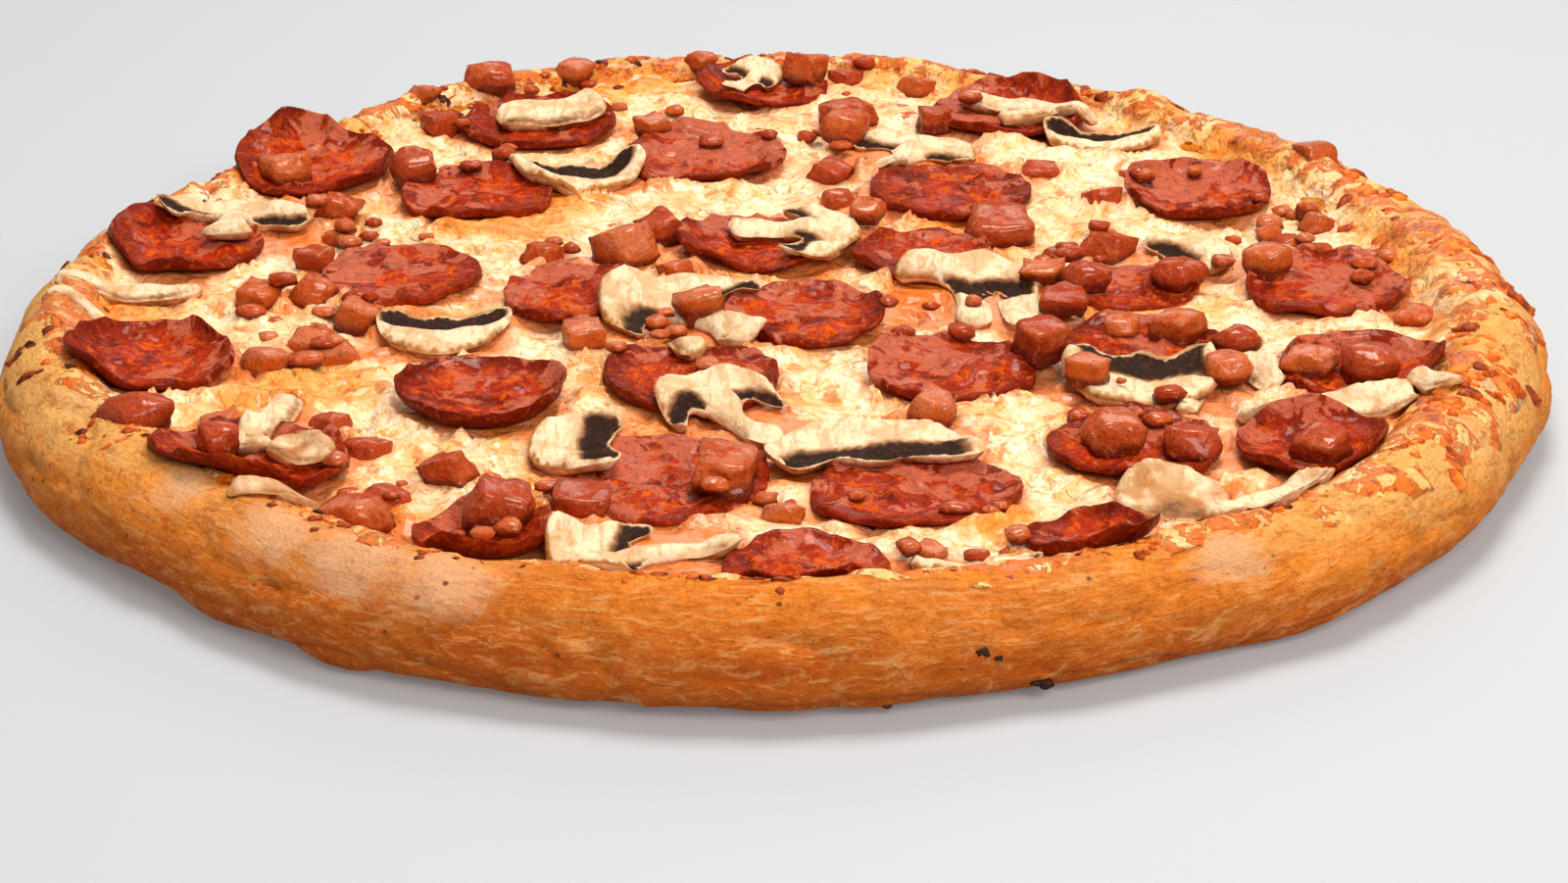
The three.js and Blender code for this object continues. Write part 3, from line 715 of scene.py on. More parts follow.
def cheese_finish(colours):
    finish = Finish("cheese")
    toast, rim, near = finish.painted("toast", "rim", "near")
    broad = finish.noise(15, 5, 0.62, 0.6)
    streaks = finish.noise(4.4, 5, 0.68, 1.6)
    flecks = finish.noise(7, 5, 0.66, 1.2)
    level = toast + (broad - 0.5) * 1.1 + (streaks - 0.5) * 0.8
    cream = finish.mix(streaks.between(0.36, 0.58), srgb(250, 184, 104), colours.cheese)
    finish.tone = finish.mix(level.between(0.12, 0.4), cream, srgb(248, 172, 80))
    finish.over(level.between(0.37, 0.5), colours.toasted)
    finish.over(level.between(0.56, 0.8), srgb(200, 88, 22))
    oil = finish.noise(26, 3).between(0.56, 0.66)
    halo = (near + (streaks - 0.5) * 1.3 + (broad - 0.5) * 0.6).between(0.3, 0.8)
    finish.over(oil * 0.5, srgb(248, 160, 44))
    finish.over(halo * 0.8, srgb(228, 104, 14))
    spots = (finish.noise(5.5, 3, 0.55, 0.5) + (broad - 0.5) * 0.3).between(0.57, 0.65)
    finish.over(spots * 0.75, srgb(230, 122, 36))
    finish.over(rim * 0.6, srgb(254, 204, 130))
    baked = (flecks + rim * 0.04).between(0.5, 0.54) * rim.between(0.0, 0.15)
    burnt = (flecks + (streaks - 0.5) * 0.3).between(0.57, 0.64) * rim.between(0.0, 0.15)
    finish.over(baked, srgb(228, 112, 18))
    finish.over(burnt, colours.browned)
    finish.set(base_color=finish.tone, roughness=0.5 - 0.2 * broad, specular_ior_level=0.3,
               coat_weight=(0.4 + 0.3 * oil) * (1 - rim * 0.85), coat_roughness=0.13, subsurface_weight=0.12,
               subsurface_scale=0.003, subsurface_radius=(1.0, 0.6, 0.3))
    melted = finish.bump(finish.noise(8, 3, 0.5, 1.2), 4.5, 0.8)
    soft = finish.bump(streaks + 1.4 * baked, 1.2, 0.85, melted)
    finish.set(normal=finish.bump(finish.noise(1.2, 4, 0.6), 0.2, 0.6, soft))


def pepperoni_finish(colours):
    finish = Finish("pepperoni")
    reach, pink, dark = finish.painted("reach", "pink", "dark")
    broad = finish.noise(9, 5, 0.62, 0.8)
    grain = finish.noise(1.6, 5, 0.65)
    fat = finish.cells(2.6)
    glow = finish.noise(5, 5, 0.68, 1.0)
    finish.tone = finish.mix(broad.between(0.34, 0.56), colours.pepperoni_edge, colours.pepperoni)
    finish.over((glow + (broad - 0.5) * 0.5).between(0.5, 0.66), colours.pepperoni_light)
    crisp = (reach + (broad - 0.5) * 0.8).between(0.62, 0.95) * (0.35 + 0.65 * dark)
    finish.over(crisp, colours.pepperoni_edge)
    # Dull pink islands, more on the side facing the back light: partly the meat's own colour, partly a
    # painted reflection of that light.
    islands = finish.noise(8, 4, 0.6, 0.6, finish.stretched(1, 1, 0.4))
    blush = (islands + pink * 0.14 - reach * 0.08).between(0.53, 0.57)
    finish.over(blush * 0.9, colours.pepperoni_pink)
    finish.over((1 - fat).between(0.66, 0.88) * grain.between(0.5, 0.62) * 0.3, srgb(228, 126, 66))
    finish.over((1 - grain).between(0.52, 0.66) * 0.55, srgb(92, 15, 3))
    finish.over(grain.between(0.56, 0.68) * 0.35, srgb(238, 112, 34))
    finish.set(base_color=finish.tone, roughness=0.36 + 0.3 * broad, specular_ior_level=0.06,
               coat_weight=0.25 * (1 - glow).between(0.45, 0.62), coat_roughness=0.1)
    wrinkled = finish.bump(broad, 3.0, 0.8)
    finish.set(normal=finish.bump(grain, 0.9, 0.9, wrinkled))


def mushroom_finish(colours):
    finish = Finish("mushroom")
    gill, skin = finish.painted("gill", "skin")
    broad = finish.noise(8, 4, 0.6)
    fine = finish.noise(1.5, 5, 0.68)
    stripes = finish.noise(2.0, 4, 0.6, 0.6, finish.stretched(1, 0.2, 1))
    finish.tone = finish.mix(broad.between(0.46, 0.6) * 0.7, colours.mushroom, srgb(204, 160, 112))
    finish.over(stripes.between(0.5, 0.62) * 0.6, srgb(196, 146, 92))
    finish.over((skin + (broad - 0.5) * 0.8).between(0.35, 0.9), colours.mushroom_skin)
    finish.over((skin + (fine - 0.5) * 1.2).between(0.85, 1.25) * 0.85, srgb(80, 44, 20))
    finish.over((1 - fine).between(0.54, 0.7) * 0.45, srgb(190, 136, 78))
    under = gill + (fine - 0.5) * 0.5 + (broad - 0.5) * 0.6
    dark_gills = finish.mix(fine.between(0.5, 0.66), colours.gills, srgb(74, 40, 18))
    finish.over(under.between(0.1, 0.5), srgb(160, 108, 66))
    finish.over(under.between(0.35, 0.75), dark_gills)
    finish.set(base_color=finish.tone, roughness=0.5 + 0.3 * fine + 0.2 * gill, specular_ior_level=0.2,
               subsurface_weight=0.1, subsurface_scale=0.002)
    finish.set(normal=finish.bump(fine, 0.6, 0.8, finish.bump(broad, 1.6, 0.6)))


def ham_finish(colours):
    finish = Finish("ham")
    tint, low = finish.painted("tint", "low")
    broad = finish.noise(5, 5, 0.62, 0.8)
    fine = finish.noise(1.4, 5, 0.66)
    facing = finish.upward()
    finish.tone = finish.mix((tint + (broad - 0.5) * 1.6).between(0.1, 0.9), colours.ham, srgb(216, 100, 32))
    # Pink where the surface faces up: partly the ham's own mauve, partly painted light from above.
    mauve_and_lit_top = (facing * 0.25 + broad + tint * 0.35).between(0.88, 0.98)
    finish.over(mauve_and_lit_top * 0.75, colours.ham_pink)
    # Painted shade at the foot of each lump and on faces that turn down.
    shaded = (low + (broad - 0.5) * 0.9 - facing * 0.35).between(0.1, 0.7) * 0.9
    finish.over(shaded, colours.ham_painted_shade)
    finish.over((1 - fine).between(0.54, 0.7) * 0.5, srgb(120, 28, 6))
    finish.over(fine.between(0.55, 0.7) * 0.4, srgb(242, 148, 96))
    finish.set(base_color=finish.tone, roughness=0.32 + 0.3 * fine, specular_ior_level=0.15,
               coat_weight=0.55 * broad.between(0.4, 0.55), coat_roughness=0.1)
    finish.set(normal=finish.bump(fine, 1.0, 0.95, finish.bump(broad, 2.6, 0.85)))


def crumb_finish(colours):
    finish = Finish("cheese_crumbs")
    patches = finish.noise(4, 4, 0.65, 0.8)
    char, = finish.painted("char")
    fine = finish.noise(1.2, 4, 0.6)
    level = char + (fine - 0.5) * 0.7 + (patches - 0.5) * 2.0
    finish.tone = finish.mix(level.between(0.1, 0.5), srgb(230, 130, 44), srgb(196, 82, 18))
    finish.over(level.between(0.5, 0.85), srgb(140, 54, 14))
    finish.over(level.between(0.9, 1.2), srgb(52, 26, 14))
    finish.set(base_color=finish.tone, roughness=0.45, specular_ior_level=0.15)
    finish.set(normal=finish.bump(fine, 0.3, 0.7))


# Sub-parts

def make_crust(sizes):
    """The dough with its plump rim, hollows, folds and pores."""
    line = smooth_line(SECTION, 6)
    section = np.concatenate([[(0, 0), (75, 0)], line, [(70, DOUGH_FLOOR), (0, DOUGH_FLOOR)]])
    piece = spun("dough", section, RIM_STEPS)
    nominal = points_of(piece)
    flat_reach, _ = polar(nominal)
    places = on_rim(nominal)
    move_points(piece, places)
    out = points_of(piece, "normal")
    across = np.clip((flat_reach - LIP_RADIUS) / RIM_WIDTH, 0, 1)
    shown = smoothstep(0.0, 3.0, places[:, 2])
    change = dough_swell(places, across, sizes.dough_relief / MM) * shown
    for pore in range(PORES):
        around_share, height_share, width_share = (pore * step % 1 for step in EVEN_STEPS)
        angle = TURN * around_share
        ring = outline_at(angle) - 1
        spot = np.array([ring * math.cos(angle), ring * math.sin(angle), 7 + 14 * height_share])
        gap = np.linalg.norm(places - spot, axis=1)
        change -= 0.9 * np.exp(-(gap / (1.2 + 1.2 * width_share)) ** 2)
    places = places + out * change[:, None]
    places[:, 2] = np.maximum(places[:, 2], 0)
    move_points(piece, places)
    rise = np.clip(places[:, 2] / RIM_HEIGHT, 0, 1)
    reach, angle = polar(places)
    grain = as_points(GRAIN_RADIUS * np.cos(angle), GRAIN_RADIUS * np.sin(angle), places[:, 2] - reach)
    paint_places(piece, "grain", grain)
    cream = spotted(places[:, 0], places[:, 1], CREAM_SPOTS) * smoothstep(14, 19, places[:, 2])
    paint(piece, rise=rise, inner=smoothstep(0.62, 0.2, across), brown=around(BROWNING, angle), cream=cream)
    finish_piece(piece, "crust", "crust")


def make_cheese(sizes):
    """The melted cheese, which runs up the inside of the rim with a ragged, toasted edge."""
    top = [(RADIUS * (1 - ring / CHEESE_RINGS), CHEESE_LEVEL) for ring in range(CHEESE_RINGS + 1)]
    section = [(0, DOUGH_FLOOR + 1), (RADIUS, DOUGH_FLOOR + 1), *top]
    piece = spun("melted_cheese", section, RIM_STEPS)
    flat = points_of(piece)
    share, angle = polar(flat)
    radius, width, _ = rim_at(angle)
    lip = radius - width
    run = around(CHEESE_RUN, angle)
    edge = np.minimum(lip + run + 4, radius - CHEESE_INSET)
    r = share / RADIUS * edge
    x, y = r * np.cos(angle), r * np.sin(angle)
    ground = as_points(x, y, np.zeros(len(x)))
    bed = crust_surface(x, y, sizes.dough_relief / MM)
    relief = sizes.cheese_relief / MM
    bumps = 0.8 * rough_noise(ground, 13, 31, 3)
    warp = ground + 3 * as_points(noise(ground, 9, 51), noise(ground, 9, 52), 0 * x)
    strings = (1 - np.abs(noise(warp * (1, 1.5, 1), 8, 41))) ** 3
    fine = 0.22 * noise(ground, 3.4, 61) + 0.06 * noise(ground, 1.6, 62)
    cells = TERRAIN.cells(ground)
    beside, crowd, buried = (TERRAIN.covered(spread)[cells] for spread in (5, 3, 1))
    swell = 4.2 * crowd * smoothstep(-0.1, 0.7, noise(ground, 11, 71))
    z = bed + relief * (1.1 * bumps + strings - 0.3) + fine + swell
    hidden = smoothstep(0.75, 0.98, buried)
    z = z * (1 - hidden) + np.minimum(z, bed + 0.6) * hidden
    past = (r - lip) / run
    ragged = past + 0.65 * rough_noise(ground, 10, 81, 3)
    thin = smoothstep(-0.3, 0.35, past)
    edge_fall = 3.5 * (0.85 - ragged)
    on_slope = bed + np.clip(edge_fall, -2.5, 1.3 + 0.8 * bumps) + 1.5 * fine
    z = z * (1 - thin) + on_slope * thin
    is_top = flat[:, 2] > CHEESE_LEVEL - 1
    inside = np.minimum(r, lip - 2) / np.maximum(r, 1)
    places = as_points(np.where(is_top, x, x * inside), np.where(is_top, y, y * inside),
                       np.where(is_top, z, DOUGH_FLOOR + 1))
    move_points(piece, places)
    toast = 0.13 + 0.2 * smoothstep(-0.3, 0.8, past) + 0.12 * bumps + spotted(x, y, TOAST_SPOTS)
    paint(piece, toast=toast, rim=smoothstep(0.0, 0.9, past), near=beside)
    finish_piece(piece, "cheese", "cheese")


def slice_base(thickness):
    """One flat pepperoni slice of unit radius, which every slice is a shaped copy of."""
    rounding = 0.35 * thickness
    under = [(ring / 6 * 0.97, 0.0) for ring in range(7)]
    edge = [(0.99, rounding * 0.4), (1.0, thickness * 0.5), (0.99, thickness - rounding * 0.4)]
    top = [(0.975 * (1 - ring / SLICE_RINGS), thickness) for ring in range(SLICE_RINGS + 1)]
    return spun("slice", [*under, *edge, *top], SLICE_STEPS)


def shape_pepperoni(piece, node, index):
    """Shapes a flat slice and lays it on what is under it."""
    cup, lift, towards, pink, dark = PEPPERONI[index]
    x, y, wide, deep = place_of(node)
    flat = points_of(piece)
    reach, angle = polar(flat)
    ring = as_points(np.cos(angle), np.sin(angle), np.full(len(angle), index * 3.7))
    ragged = (1 + 0.035 * np.sin(3 * angle + index)
              + reach * (0.04 * noise(ring, 0.8, index) + 0.02 * noise(ring, 0.25, index)))
    drawn_in = 1 - 0.014 * cup * reach ** 4
    places = as_points(x + flat[:, 0] * ragged * drawn_in * wide / 2,
                       y + flat[:, 1] * ragged * drawn_in * deep / 2, flat[:, 2])
    lean = np.maximum(0, np.cos(angle - math.radians(towards)))
    uneven = 1 + 0.6 * noise(ring, 0.7, 90 + index)
    curl = 0.5 * cup * uneven * reach ** 5 + 0.7 * lift * lean ** 1.5 * reach ** 3
    ripple = 1.5 * reach ** 3 * noise(ring, 0.4, 40 + index)
    shifted = places + (0, 0, index * 11.0)
    ridges = (1 - np.abs(noise(shifted, 9, 12))) ** 3
    wrinkle = (1.6 * ridges + 0.8 * noise(shifted, 5.5, 13) + 0.4 * noise(shifted, 2.6, 14)
               + 0.15 * noise(shifted, 1.3, 15) - 0.9) * (flat[:, 2] > 0.6)
    ground = TERRAIN.under(places, 3)
    places[:, 2] = ground + 0.2 + flat[:, 2] + curl + ripple + wrinkle
    move_points(piece, places)
    # The side of each slice that faces the back light gets more pink: a painted reflection of that light.
    far_side = 0.9 * math.sin(2.4 * index)
    reflecting_side = flat[:, 1] * math.cos(far_side) + flat[:, 0] * math.sin(far_side)
    paint(piece, reach=np.where(flat[:, 2] > 1, reach, 1.0), pink=pink + 0.8 * reflecting_side,
          dark=np.full(len(reach), dark))
    return places


def make_pepperoni(sizes):
    thickness = sizes.pepperoni_thickness / MM
    base = slice_base(thickness)
    laid = []
    for index in range(len(PEPPERONI)):
        node = numbered("pepperoni", index)
        piece = base.copy()
        piece.data = base.data.copy()
        piece.name = node + "_slice"
        bpy.context.collection.objects.link(piece)
        laid.append(shape_pepperoni(piece, node, index))
        finish_piece(piece, "pepperoni", node)
    bpy.data.objects.remove(base)
    for places in laid:
        TERRAIN.cover(places)


def inside_points(outline, step, random):
    """A slightly uneven grid of points inside a flat outline, clear of its line."""
    low, high = outline.min(axis=0), outline.max(axis=0)
    grid = np.array([(x + (row % 2) * step / 2, y)
                     for row, y in enumerate(np.arange(low[1], high[1], step * 0.87))
                     for x in np.arange(low[0], high[0], step)])
    grid += random.uniform(-0.12, 0.12, grid.shape) * step
    return grid[line_distance(grid, outline) > step * 0.45]


def line_distance(points, outline):
    """Distance of each point from a closed line."""
    best = np.full(len(points), np.inf)
    for start, end in zip(outline, np.roll(outline, -1, axis=0)):
        along = end - start
        share = np.clip(((points - start) @ along) / (along @ along), 0, 1)
        best = np.minimum(best, np.linalg.norm(points - start - share[:, None] * along, axis=1))
    return best


def plate(name, outline, step, random):
    """A flat plate with both faces split alike, whose z is 1 on the upper face and 0 on the lower."""
    dots = inside_points(outline, step, random)
    loop = list(range(len(outline)))
    edges = [(i, (i + 1) % len(outline)) for i in loop]
    flat, _, faces, _, _, _ = geometry.delaunay_2d_cdt(
        [tuple(point) for point in np.concatenate([outline, dots])], edges, [loop], 1, 1e-5)
    flat = np.array([tuple(point) for point in flat])
    count = len(flat)
    border = [(face[k], face[(k + 1) % 3]) for face in faces for k in range(3)]
    known = set(border)
    border = [pair for pair in border if (pair[1], pair[0]) not in known]
    solid = [tuple(face) for face in faces]
    solid += [tuple(count + i for i in reversed(face)) for face in faces]
    solid += [(b, a, count + a, count + b) for a, b in border]
    side = np.concatenate([np.ones(count), np.zeros(count)])
    piece = new_piece(name, as_points(np.tile(flat, (2, 1)), side), faces=solid)
    face_outwards(piece)
    return piece


def gill_mask(cut, u, v):
    """Where the dark gills show on a cut, from 0 to 1."""
    if cut == "whole":
        return smoothstep(0.1, 0.2, np.abs(u)) * smoothstep(0.24, 0.1, v + 0.45 * u * u)
    if cut == "cap":
        return smoothstep(0.14, -0.06, v + 0.9 * u * u) * smoothstep(0.5, 0.38, np.abs(u))
    if cut == "comb":
        return smoothstep(0.26, 0.16, v) * smoothstep(-0.12, 0.04, v) * smoothstep(0.32, 0.24, np.abs(u))
    return 0.5 * smoothstep(0.0, -0.4, v)


def shape_mushroom(name, index, thickness, x, y, form):
    """One slice laid on what is under it: its piece and its points."""
    cut, wide, deep, cap, curl, tan = form
    random = np.random.default_rng(MUSHROOM_SEED + index)
    corners = np.array(CUTS[cut]) / 100 + random.uniform(-0.025, 0.025, (len(CUTS[cut]), 2))
    outline = smooth_line(corners, 6, True) * (wide, deep)
    piece = plate(name, outline, MUSHROOM_STEP, random)
    flat = points_of(piece)
    u, v = flat[:, 0] / wide, flat[:, 1] / deep
    inward = line_distance(flat[:, :2], outline)
    rounded = np.sqrt(1 - (1 - np.clip(inward / 1.5, 0, 1)) ** 2)
    stray = flat * (1, 1, 0) + (0, 0, index * 9.0)
    gill = gill_mask(cut, u + 0.07 * noise(stray, 7, 1), v + 0.07 * noise(stray, 7, 2))
    gill = gill * smoothstep(0.0, 0.8, inward)
    skin = smoothstep(1.6, 0.2, inward) * (0.8 if cut in ("strip", "chunk") else smoothstep(-0.2, 0.2, v))
    skin = np.maximum(skin, tan * (0.75 + 0.5 * noise(stray, 5, 3)))
    ridges = 0.35 * np.sin(u * wide * 3.2 + 2 * v * deep * np.sign(u))
    top = flat[:, 2] > 0.5
    angle = math.radians(cap - 90)
    turned = as_points(x + flat[:, 0] * math.cos(angle) - flat[:, 1] * math.sin(angle),
                       y + flat[:, 0] * math.sin(angle) + flat[:, 1] * math.cos(angle))
    bent = 2.4 * curl * (u * u + 0.6 * (v - 0.05) ** 2)
    places = as_points(turned, np.full(len(turned), index * 17.0))
    swell = 0.8 * rough_noise(places, 8, 5, 2) + 0.2 * noise(places, 2.2, 6)
    ground = TERRAIN.under(places, 3)
    half = thickness / 2
    height = half + np.where(top, half * rounded - 1.9 * gill + ridges * gill + swell, -half * rounded)
    places[:, 2] = ground - 0.7 + height + bent
    move_points(piece, places)
    paint(piece, gill=gill * top, skin=np.where(top, skin, 0.6))
    return piece, places


def make_mushrooms(sizes):
    thickness = sizes.mushroom_thickness / MM
    laid = []
    for index, form in enumerate(MUSHROOMS):
        node = numbered("mushroom", index)
        x, y, _, _ = place_of(node)
        piece, places = shape_mushroom(node + "_slice", index, thickness, x, y, form)
        finish_piece(piece, "mushroom", node)
        laid.append(places)
    for index, (x, y, *form) in enumerate(MUSHROOM_BITS):
        piece, places = shape_mushroom(f"mushroom_bit_{index + 1}", 100 + index, thickness, x, y, form)
        finish_piece(piece, "mushroom")
        laid.append(places)
    for places in laid:
        TERRAIN.cover(places)


def lump_base(cuts):
    """A cube split into even squares, which each lump of food is a rounded copy of."""
    deselect()
    bpy.ops.mesh.primitive_cube_add(size=2)
    piece = bpy.context.object
    set_mode("EDIT")
    bpy.ops.mesh.subdivide(number_cuts=cuts)
    set_mode("OBJECT")
    points = points_of(piece)
    faces = np.array([tuple(face.vertices) for face in piece.data.polygons])
    bpy.data.objects.remove(piece)
    return points, faces


def turning(random):
    """A turn by any angle about z after a slight tilt."""
    tilt, turn = random.uniform(-0.5, 0.5), random.uniform(0, TURN)
    about_x = np.array([[1, 0, 0], [0, math.cos(tilt), -math.sin(tilt)], [0, math.sin(tilt), math.cos(tilt)]])
    about_z = np.array([[math.cos(turn), -math.sin(turn), 0], [math.sin(turn), math.cos(turn), 0], [0, 0, 1]])
    return about_z @ about_x


def lump(base, random, size, squareness=0.8, roughness=0.2):
    """The points of one uneven rounded lump about the origin, size across, deep and high."""
    squareness *= random.uniform(0.4, 1.1)
    length_of = np.linalg.norm(base, axis=1)[:, None]
    ball = base / length_of
    body = ball * (1 - squareness) + base * squareness * 0.82
    body = body / np.abs(body).max()
    body = body @ turning(random).T
    seed = int(random.integers(1, 100000))
    body = body * (1 + roughness * rough_noise(body, 1.1, seed, 3)[:, None])
    span = body.max(axis=0) - body.min(axis=0)
    return body / span * np.array(size)


def joined_lumps(name, base, faces, bodies, **painted):
    """One piece of many lumps that are copies of one base."""
    points = np.concatenate(bodies)
    every = np.concatenate([faces + index * len(base) for index in range(len(bodies))])
    piece = new_piece(name, points, faces=[tuple(face) for face in every])
    face_outwards(piece)
    paint(piece, **painted)
    return piece


def lay_lump(body, x, y, sunk):
    """Sets a lump down at a place inside the outline, sunk a little into what is under it."""
    farthest = outline_at(math.atan2(y, x)) - HAM_INSET
    share = min(1, farthest / math.hypot(x, y))
    x, y = x * share, y * share
    placed = body + (x, y, 0)
    ground = np.quantile(TERRAIN.under(placed, 1), 0.6)
    placed[:, 2] += ground - sunk - body[:, 2].min()
    return placed


def lowness(body):
    """1 at the foot of a lump and 0 from half way up, where the finish paints shade."""
    z = body[:, 2]
    return 1 - smoothstep(0.1, 0.75, (z - z.min()) / (z.max() - z.min()))


def make_ham_piece(name, base, faces, bodies, tints, *nodes):
    """One piece of one or more ham lumps, each with its own tint and painted shade at its foot."""
    low = np.concatenate([lowness(body) for body in bodies])
    piece = joined_lumps(name, base, faces, bodies, tint=np.repeat(tints, len(base)), low=low)
    finish_piece(piece, "ham", *nodes)


def make_ham():
    """The ham pieces: six large ones, the smaller ones in one piece, and the fine crumbs in another."""
    base, faces = lump_base(5)
    random = np.random.default_rng(HAM_SEED)
    large = []
    for index, size in enumerate(HAM):
        node = numbered("ham", index)
        x, y, _, _ = place_of(node)
        body = lay_lump(lump(base, random, size), x, y, HAM_SUNK)
        large.append(body)
        make_ham_piece(node + "_piece", base, faces, [body], [random.uniform(0, 1)], node)
    small = []
    for x, y, across in SMALL_HAM:
        size = (across * random.uniform(0.9, 1.15), across * random.uniform(0.75, 1.05),
                across * random.uniform(0.6, 0.8))
        small.append(lay_lump(lump(base, random, size), x, y, SMALL_HAM_SUNK))
    for body in large + small:
        TERRAIN.cover(body)
    make_ham_piece("ham_pieces", base, faces, small, random.uniform(0, 1, len(small)))
    make_ham_crumbs(random)


def make_ham_crumbs(random):
    """Fine crumbs of ham, none of them on top of something high."""
    base, faces = lump_base(2)
    crumbs = []
    for x, y, spread, count in CRUMB_PATCHES:
        for _ in range(count):
            across = random.uniform(2, 5.5)
            size = (across * random.uniform(1, 1.5), across, across * random.uniform(0.5, 0.8))
            dx, dy = random.normal(0, spread / 2, 2)
            if TERRAIN.rise_at(x + dx, y + dy) > CRUMB_REST:
                continue
            body = lump(base, random, size, 0.3, 0.25)
            crumbs.append(lay_lump(body, x + dx, y + dy, CRUMB_SUNK))
    make_ham_piece("ham_crumbs", base, faces, crumbs, random.uniform(0, 1, len(crumbs)))


def make_crumbs(sizes):
    """Toasted cheese crumbs along the inside of the rim, and a few charred ones on its front."""
    base, faces = lump_base(2)
    random = np.random.default_rng(TOASTED_SEED)
    bodies, chars = [], []
    for start, end, near, far, clusters, across, dark in TOASTED_ZONES:
        for _ in range(clusters):
            angle = math.radians(random.uniform(start, end))
            radius, width, _ = rim_at(np.array([angle]))
            r = radius[0] - width[0] * (1 - random.uniform(near, far))
            middle = np.array([r * math.cos(angle), r * math.sin(angle)])
            for _ in range(random.integers(2, 7)):
                x, y = middle + random.normal(0, 2.6, 2)
                long = across * random.uniform(0.5, 1.3)
                body = lump(base, random, (long * random.uniform(1, 1.6), long, long * 0.7), 0.3, 0.45)
                height = crust_surface(body[:, 0] + x, body[:, 1] + y, sizes.dough_relief / MM)
                height = np.maximum(height, height.max() - long)
                bodies.append(as_points(body[:, 0] + x, body[:, 1] + y, height + body[:, 2]))
                chars.append(dark + random.uniform(0, 0.8))
    for degrees, height, across in CHARRED:
        angle = math.radians(degrees)
        r = outline_at(angle) - 2.2 - 0.03 * (height - 10) ** 2
        body = lump(base, random, (across * 1.4, across, across * 0.8), 0.4, 0.3)
        bodies.append(body + (r * math.cos(angle), r * math.sin(angle), height))
        chars.append(1.3)
    piece = joined_lumps("toasted_crumbs", base, faces, bodies, char=np.repeat(chars, len(base)))
    finish_piece(piece, "cheese_crumbs")


# The stage: camera, lights and floor

CAMERA_DISTANCE = 0.925
CAMERA_ELEVATION = 23.443
CAMERA_AIM = (0.00108, -0.03727, 0.0)
CAMERA_LENS = 96.3
SENSOR_WIDTH = 36
ROOM_TINT = (1, 0.955, 0.87)
ROOM_STRENGTH = 0.29

# Lights: name, place, turn in degrees, size, power and tint
LIGHTS = [
    ("key", (0.1, 0.25, 1.15), (-14, 6, 0), (0.5, 0.5), 13, (1, 0.955, 0.86)),
    ("back", (0.25, 1.2, 0.75), (-58, 0, -10), (1.2, 0.5), 4, (1, 0.96, 0.88)),
    ("front", (0.5, -1.0, 0.9), (51, 0, 27), (1.0, 0.6), 15, (1, 0.95, 0.85)),
]


def make_camera():
    elevation = math.radians(CAMERA_ELEVATION)
    camera = bpy.data.objects.new("camera", bpy.data.cameras.new("camera"))
    camera.data.lens = CAMERA_LENS
    camera.data.sensor_width = SENSOR_WIDTH
    camera.location = (CAMERA_AIM[0], CAMERA_AIM[1] - CAMERA_DISTANCE * math.cos(elevation),
                       CAMERA_AIM[2] + CAMERA_DISTANCE * math.sin(elevation))
    camera.rotation_euler = (math.pi / 2 - elevation, 0, 0)
    bpy.context.collection.objects.link(camera)
    bpy.context.scene.camera = camera


def area_light(name, place, turn, size, power, tint):
    light = bpy.data.lights.new(name, "AREA")
    light.shape = "RECTANGLE"
    light.size, light.size_y = size
    light.energy = power
    light.color = tint
    lamp = bpy.data.objects.new(name, light)
    lamp.location = place
    lamp.rotation_euler = [math.radians(angle) for angle in turn]
    bpy.context.collection.objects.link(lamp)


def make_floor():
    deselect()
    bpy.ops.mesh.primitive_plane_add(size=8, location=(0, 0, 0))
    floor = bpy.context.object
    floor.name = "floor"
    finish = Finish("floor")
    shade = finish.mix(finish.noise(220, 2), (0.385, 0.41, 0.46), (0.40, 0.425, 0.475))
    finish.set(base_color=shade, roughness=0.6, emission_color=(1, 1, 1), emission_strength=0.12)
    floor.data.materials.append(bpy.data.materials["finish_floor"])


def make_stage():
    make_camera()
    world = bpy.data.worlds.new("studio")
    world.use_nodes = True
    background = world.node_tree.nodes["Background"]
    background.inputs["Color"].default_value = (*ROOM_TINT, 1)
    background.inputs["Strength"].default_value = ROOM_STRENGTH
    bpy.context.scene.world = world
    for light in LIGHTS:
        area_light(*light)
    make_floor()
    bpy.context.scene.view_settings.view_transform = "Standard"


# Operators, panel and registration

class PIZZA_OT_finishes(bpy.types.Operator):
    """Makes the finishes of dough, cheese, pepperoni, mushroom, ham and crumbs"""
    bl_idname = "pizza.finishes"
    bl_label = "Finishes"

    def execute(self, context):
        colours = context.scene.pizza_colours
        for make in (dough_finish, cheese_finish, pepperoni_finish,
                     mushroom_finish, ham_finish, crumb_finish):
            make(colours)
        return {"FINISHED"}


class PIZZA_OT_stage(bpy.types.Operator):
    """Sets up the camera, the studio lights and the pale floor"""
    bl_idname = "pizza.stage"
    bl_label = "Stage"

    def execute(self, context):
        make_stage()
        return {"FINISHED"}


class PIZZA_OT_crust(bpy.types.Operator):
    """Models the dough with its raised rim"""
    bl_idname = "pizza.crust"
    bl_label = "Crust"

    def execute(self, context):
        make_crust(context.scene.pizza_sizes)
        return {"FINISHED"}


class PIZZA_OT_pepperoni(bpy.types.Operator):
    """Lays the pepperoni slices"""
    bl_idname = "pizza.pepperoni"
    bl_label = "Pepperoni"

    def execute(self, context):
        make_pepperoni(context.scene.pizza_sizes)
        return {"FINISHED"}


class PIZZA_OT_mushrooms(bpy.types.Operator):
    """Lays the mushroom slices over the pepperoni"""
    bl_idname = "pizza.mushrooms"
    bl_label = "Mushrooms"

    def execute(self, context):
        make_mushrooms(context.scene.pizza_sizes)
        return {"FINISHED"}


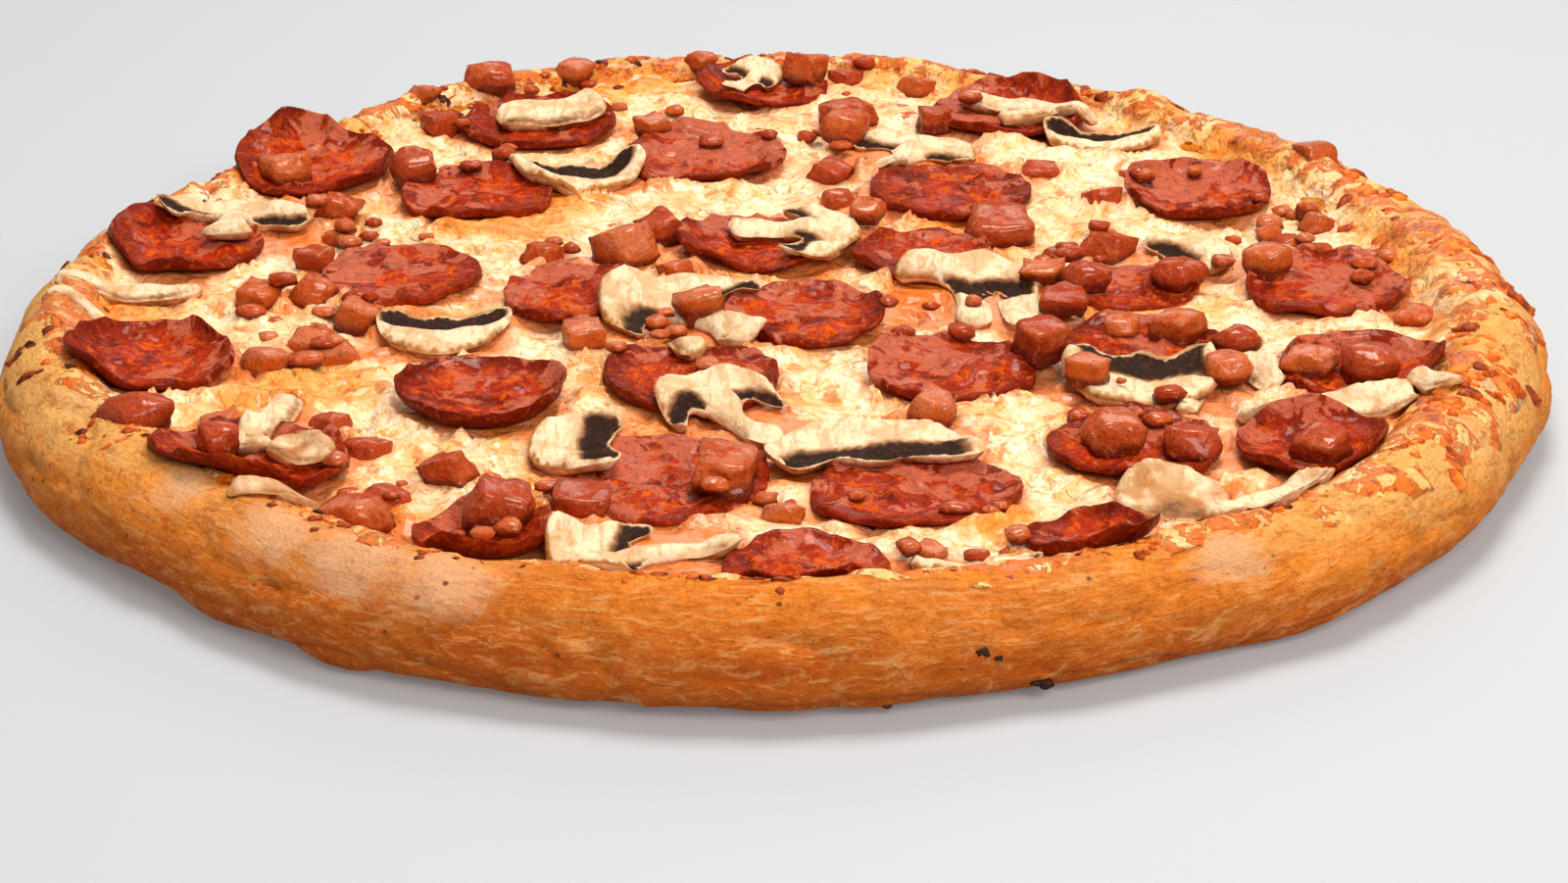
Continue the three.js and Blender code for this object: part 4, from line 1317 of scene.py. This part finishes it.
class PIZZA_OT_ham(bpy.types.Operator):
    """Lays the ham pieces and their crumbs"""
    bl_idname = "pizza.ham"
    bl_label = "Ham"

    def execute(self, context):
        make_ham()
        return {"FINISHED"}


class PIZZA_OT_cheese(bpy.types.Operator):
    """Melts the cheese between the toppings, which have to lie already"""
    bl_idname = "pizza.cheese"
    bl_label = "Cheese"

    def execute(self, context):
        make_cheese(context.scene.pizza_sizes)
        return {"FINISHED"}


class PIZZA_OT_crumbs(bpy.types.Operator):
    """Scatters the toasted and charred crumbs on the rim"""
    bl_idname = "pizza.crumbs"
    bl_label = "Crumbs"

    def execute(self, context):
        make_crumbs(context.scene.pizza_sizes)
        return {"FINISHED"}


OPERATORS = (PIZZA_OT_finishes, PIZZA_OT_stage, PIZZA_OT_crust, PIZZA_OT_pepperoni, PIZZA_OT_mushrooms,
             PIZZA_OT_ham, PIZZA_OT_cheese, PIZZA_OT_crumbs)


class PIZZA_PT_panel(bpy.types.Panel):
    """Lists the steps in their order, and the sizes and colours"""
    bl_idname = "PIZZA_PT_panel"
    bl_label = "Pizza"
    bl_space_type = "VIEW_3D"
    bl_region_type = "UI"
    bl_category = "Pizza"

    def draw(self, context):
        for group in (context.scene.pizza_sizes, context.scene.pizza_colours):
            for name in group.__annotations__:
                self.layout.prop(group, name)
        for operator in OPERATORS:
            self.layout.operator(operator.bl_idname)


CLASSES = (PizzaSizes, PizzaColours, *OPERATORS, PIZZA_PT_panel)


def register():
    for item in CLASSES:
        bpy.utils.register_class(item)
    bpy.types.Scene.pizza_sizes = bpy.props.PointerProperty(type=PizzaSizes)
    bpy.types.Scene.pizza_colours = bpy.props.PointerProperty(type=PizzaColours)


def unregister():
    del bpy.types.Scene.pizza_sizes
    del bpy.types.Scene.pizza_colours
    for item in reversed(CLASSES):
        bpy.utils.unregister_class(item)


def main():
    register()
    for step in (bpy.ops.pizza.finishes, bpy.ops.pizza.stage, bpy.ops.pizza.crust, bpy.ops.pizza.pepperoni,
                 bpy.ops.pizza.mushrooms, bpy.ops.pizza.ham, bpy.ops.pizza.cheese, bpy.ops.pizza.crumbs):
        step()


if __name__ == "__main__":
    main()
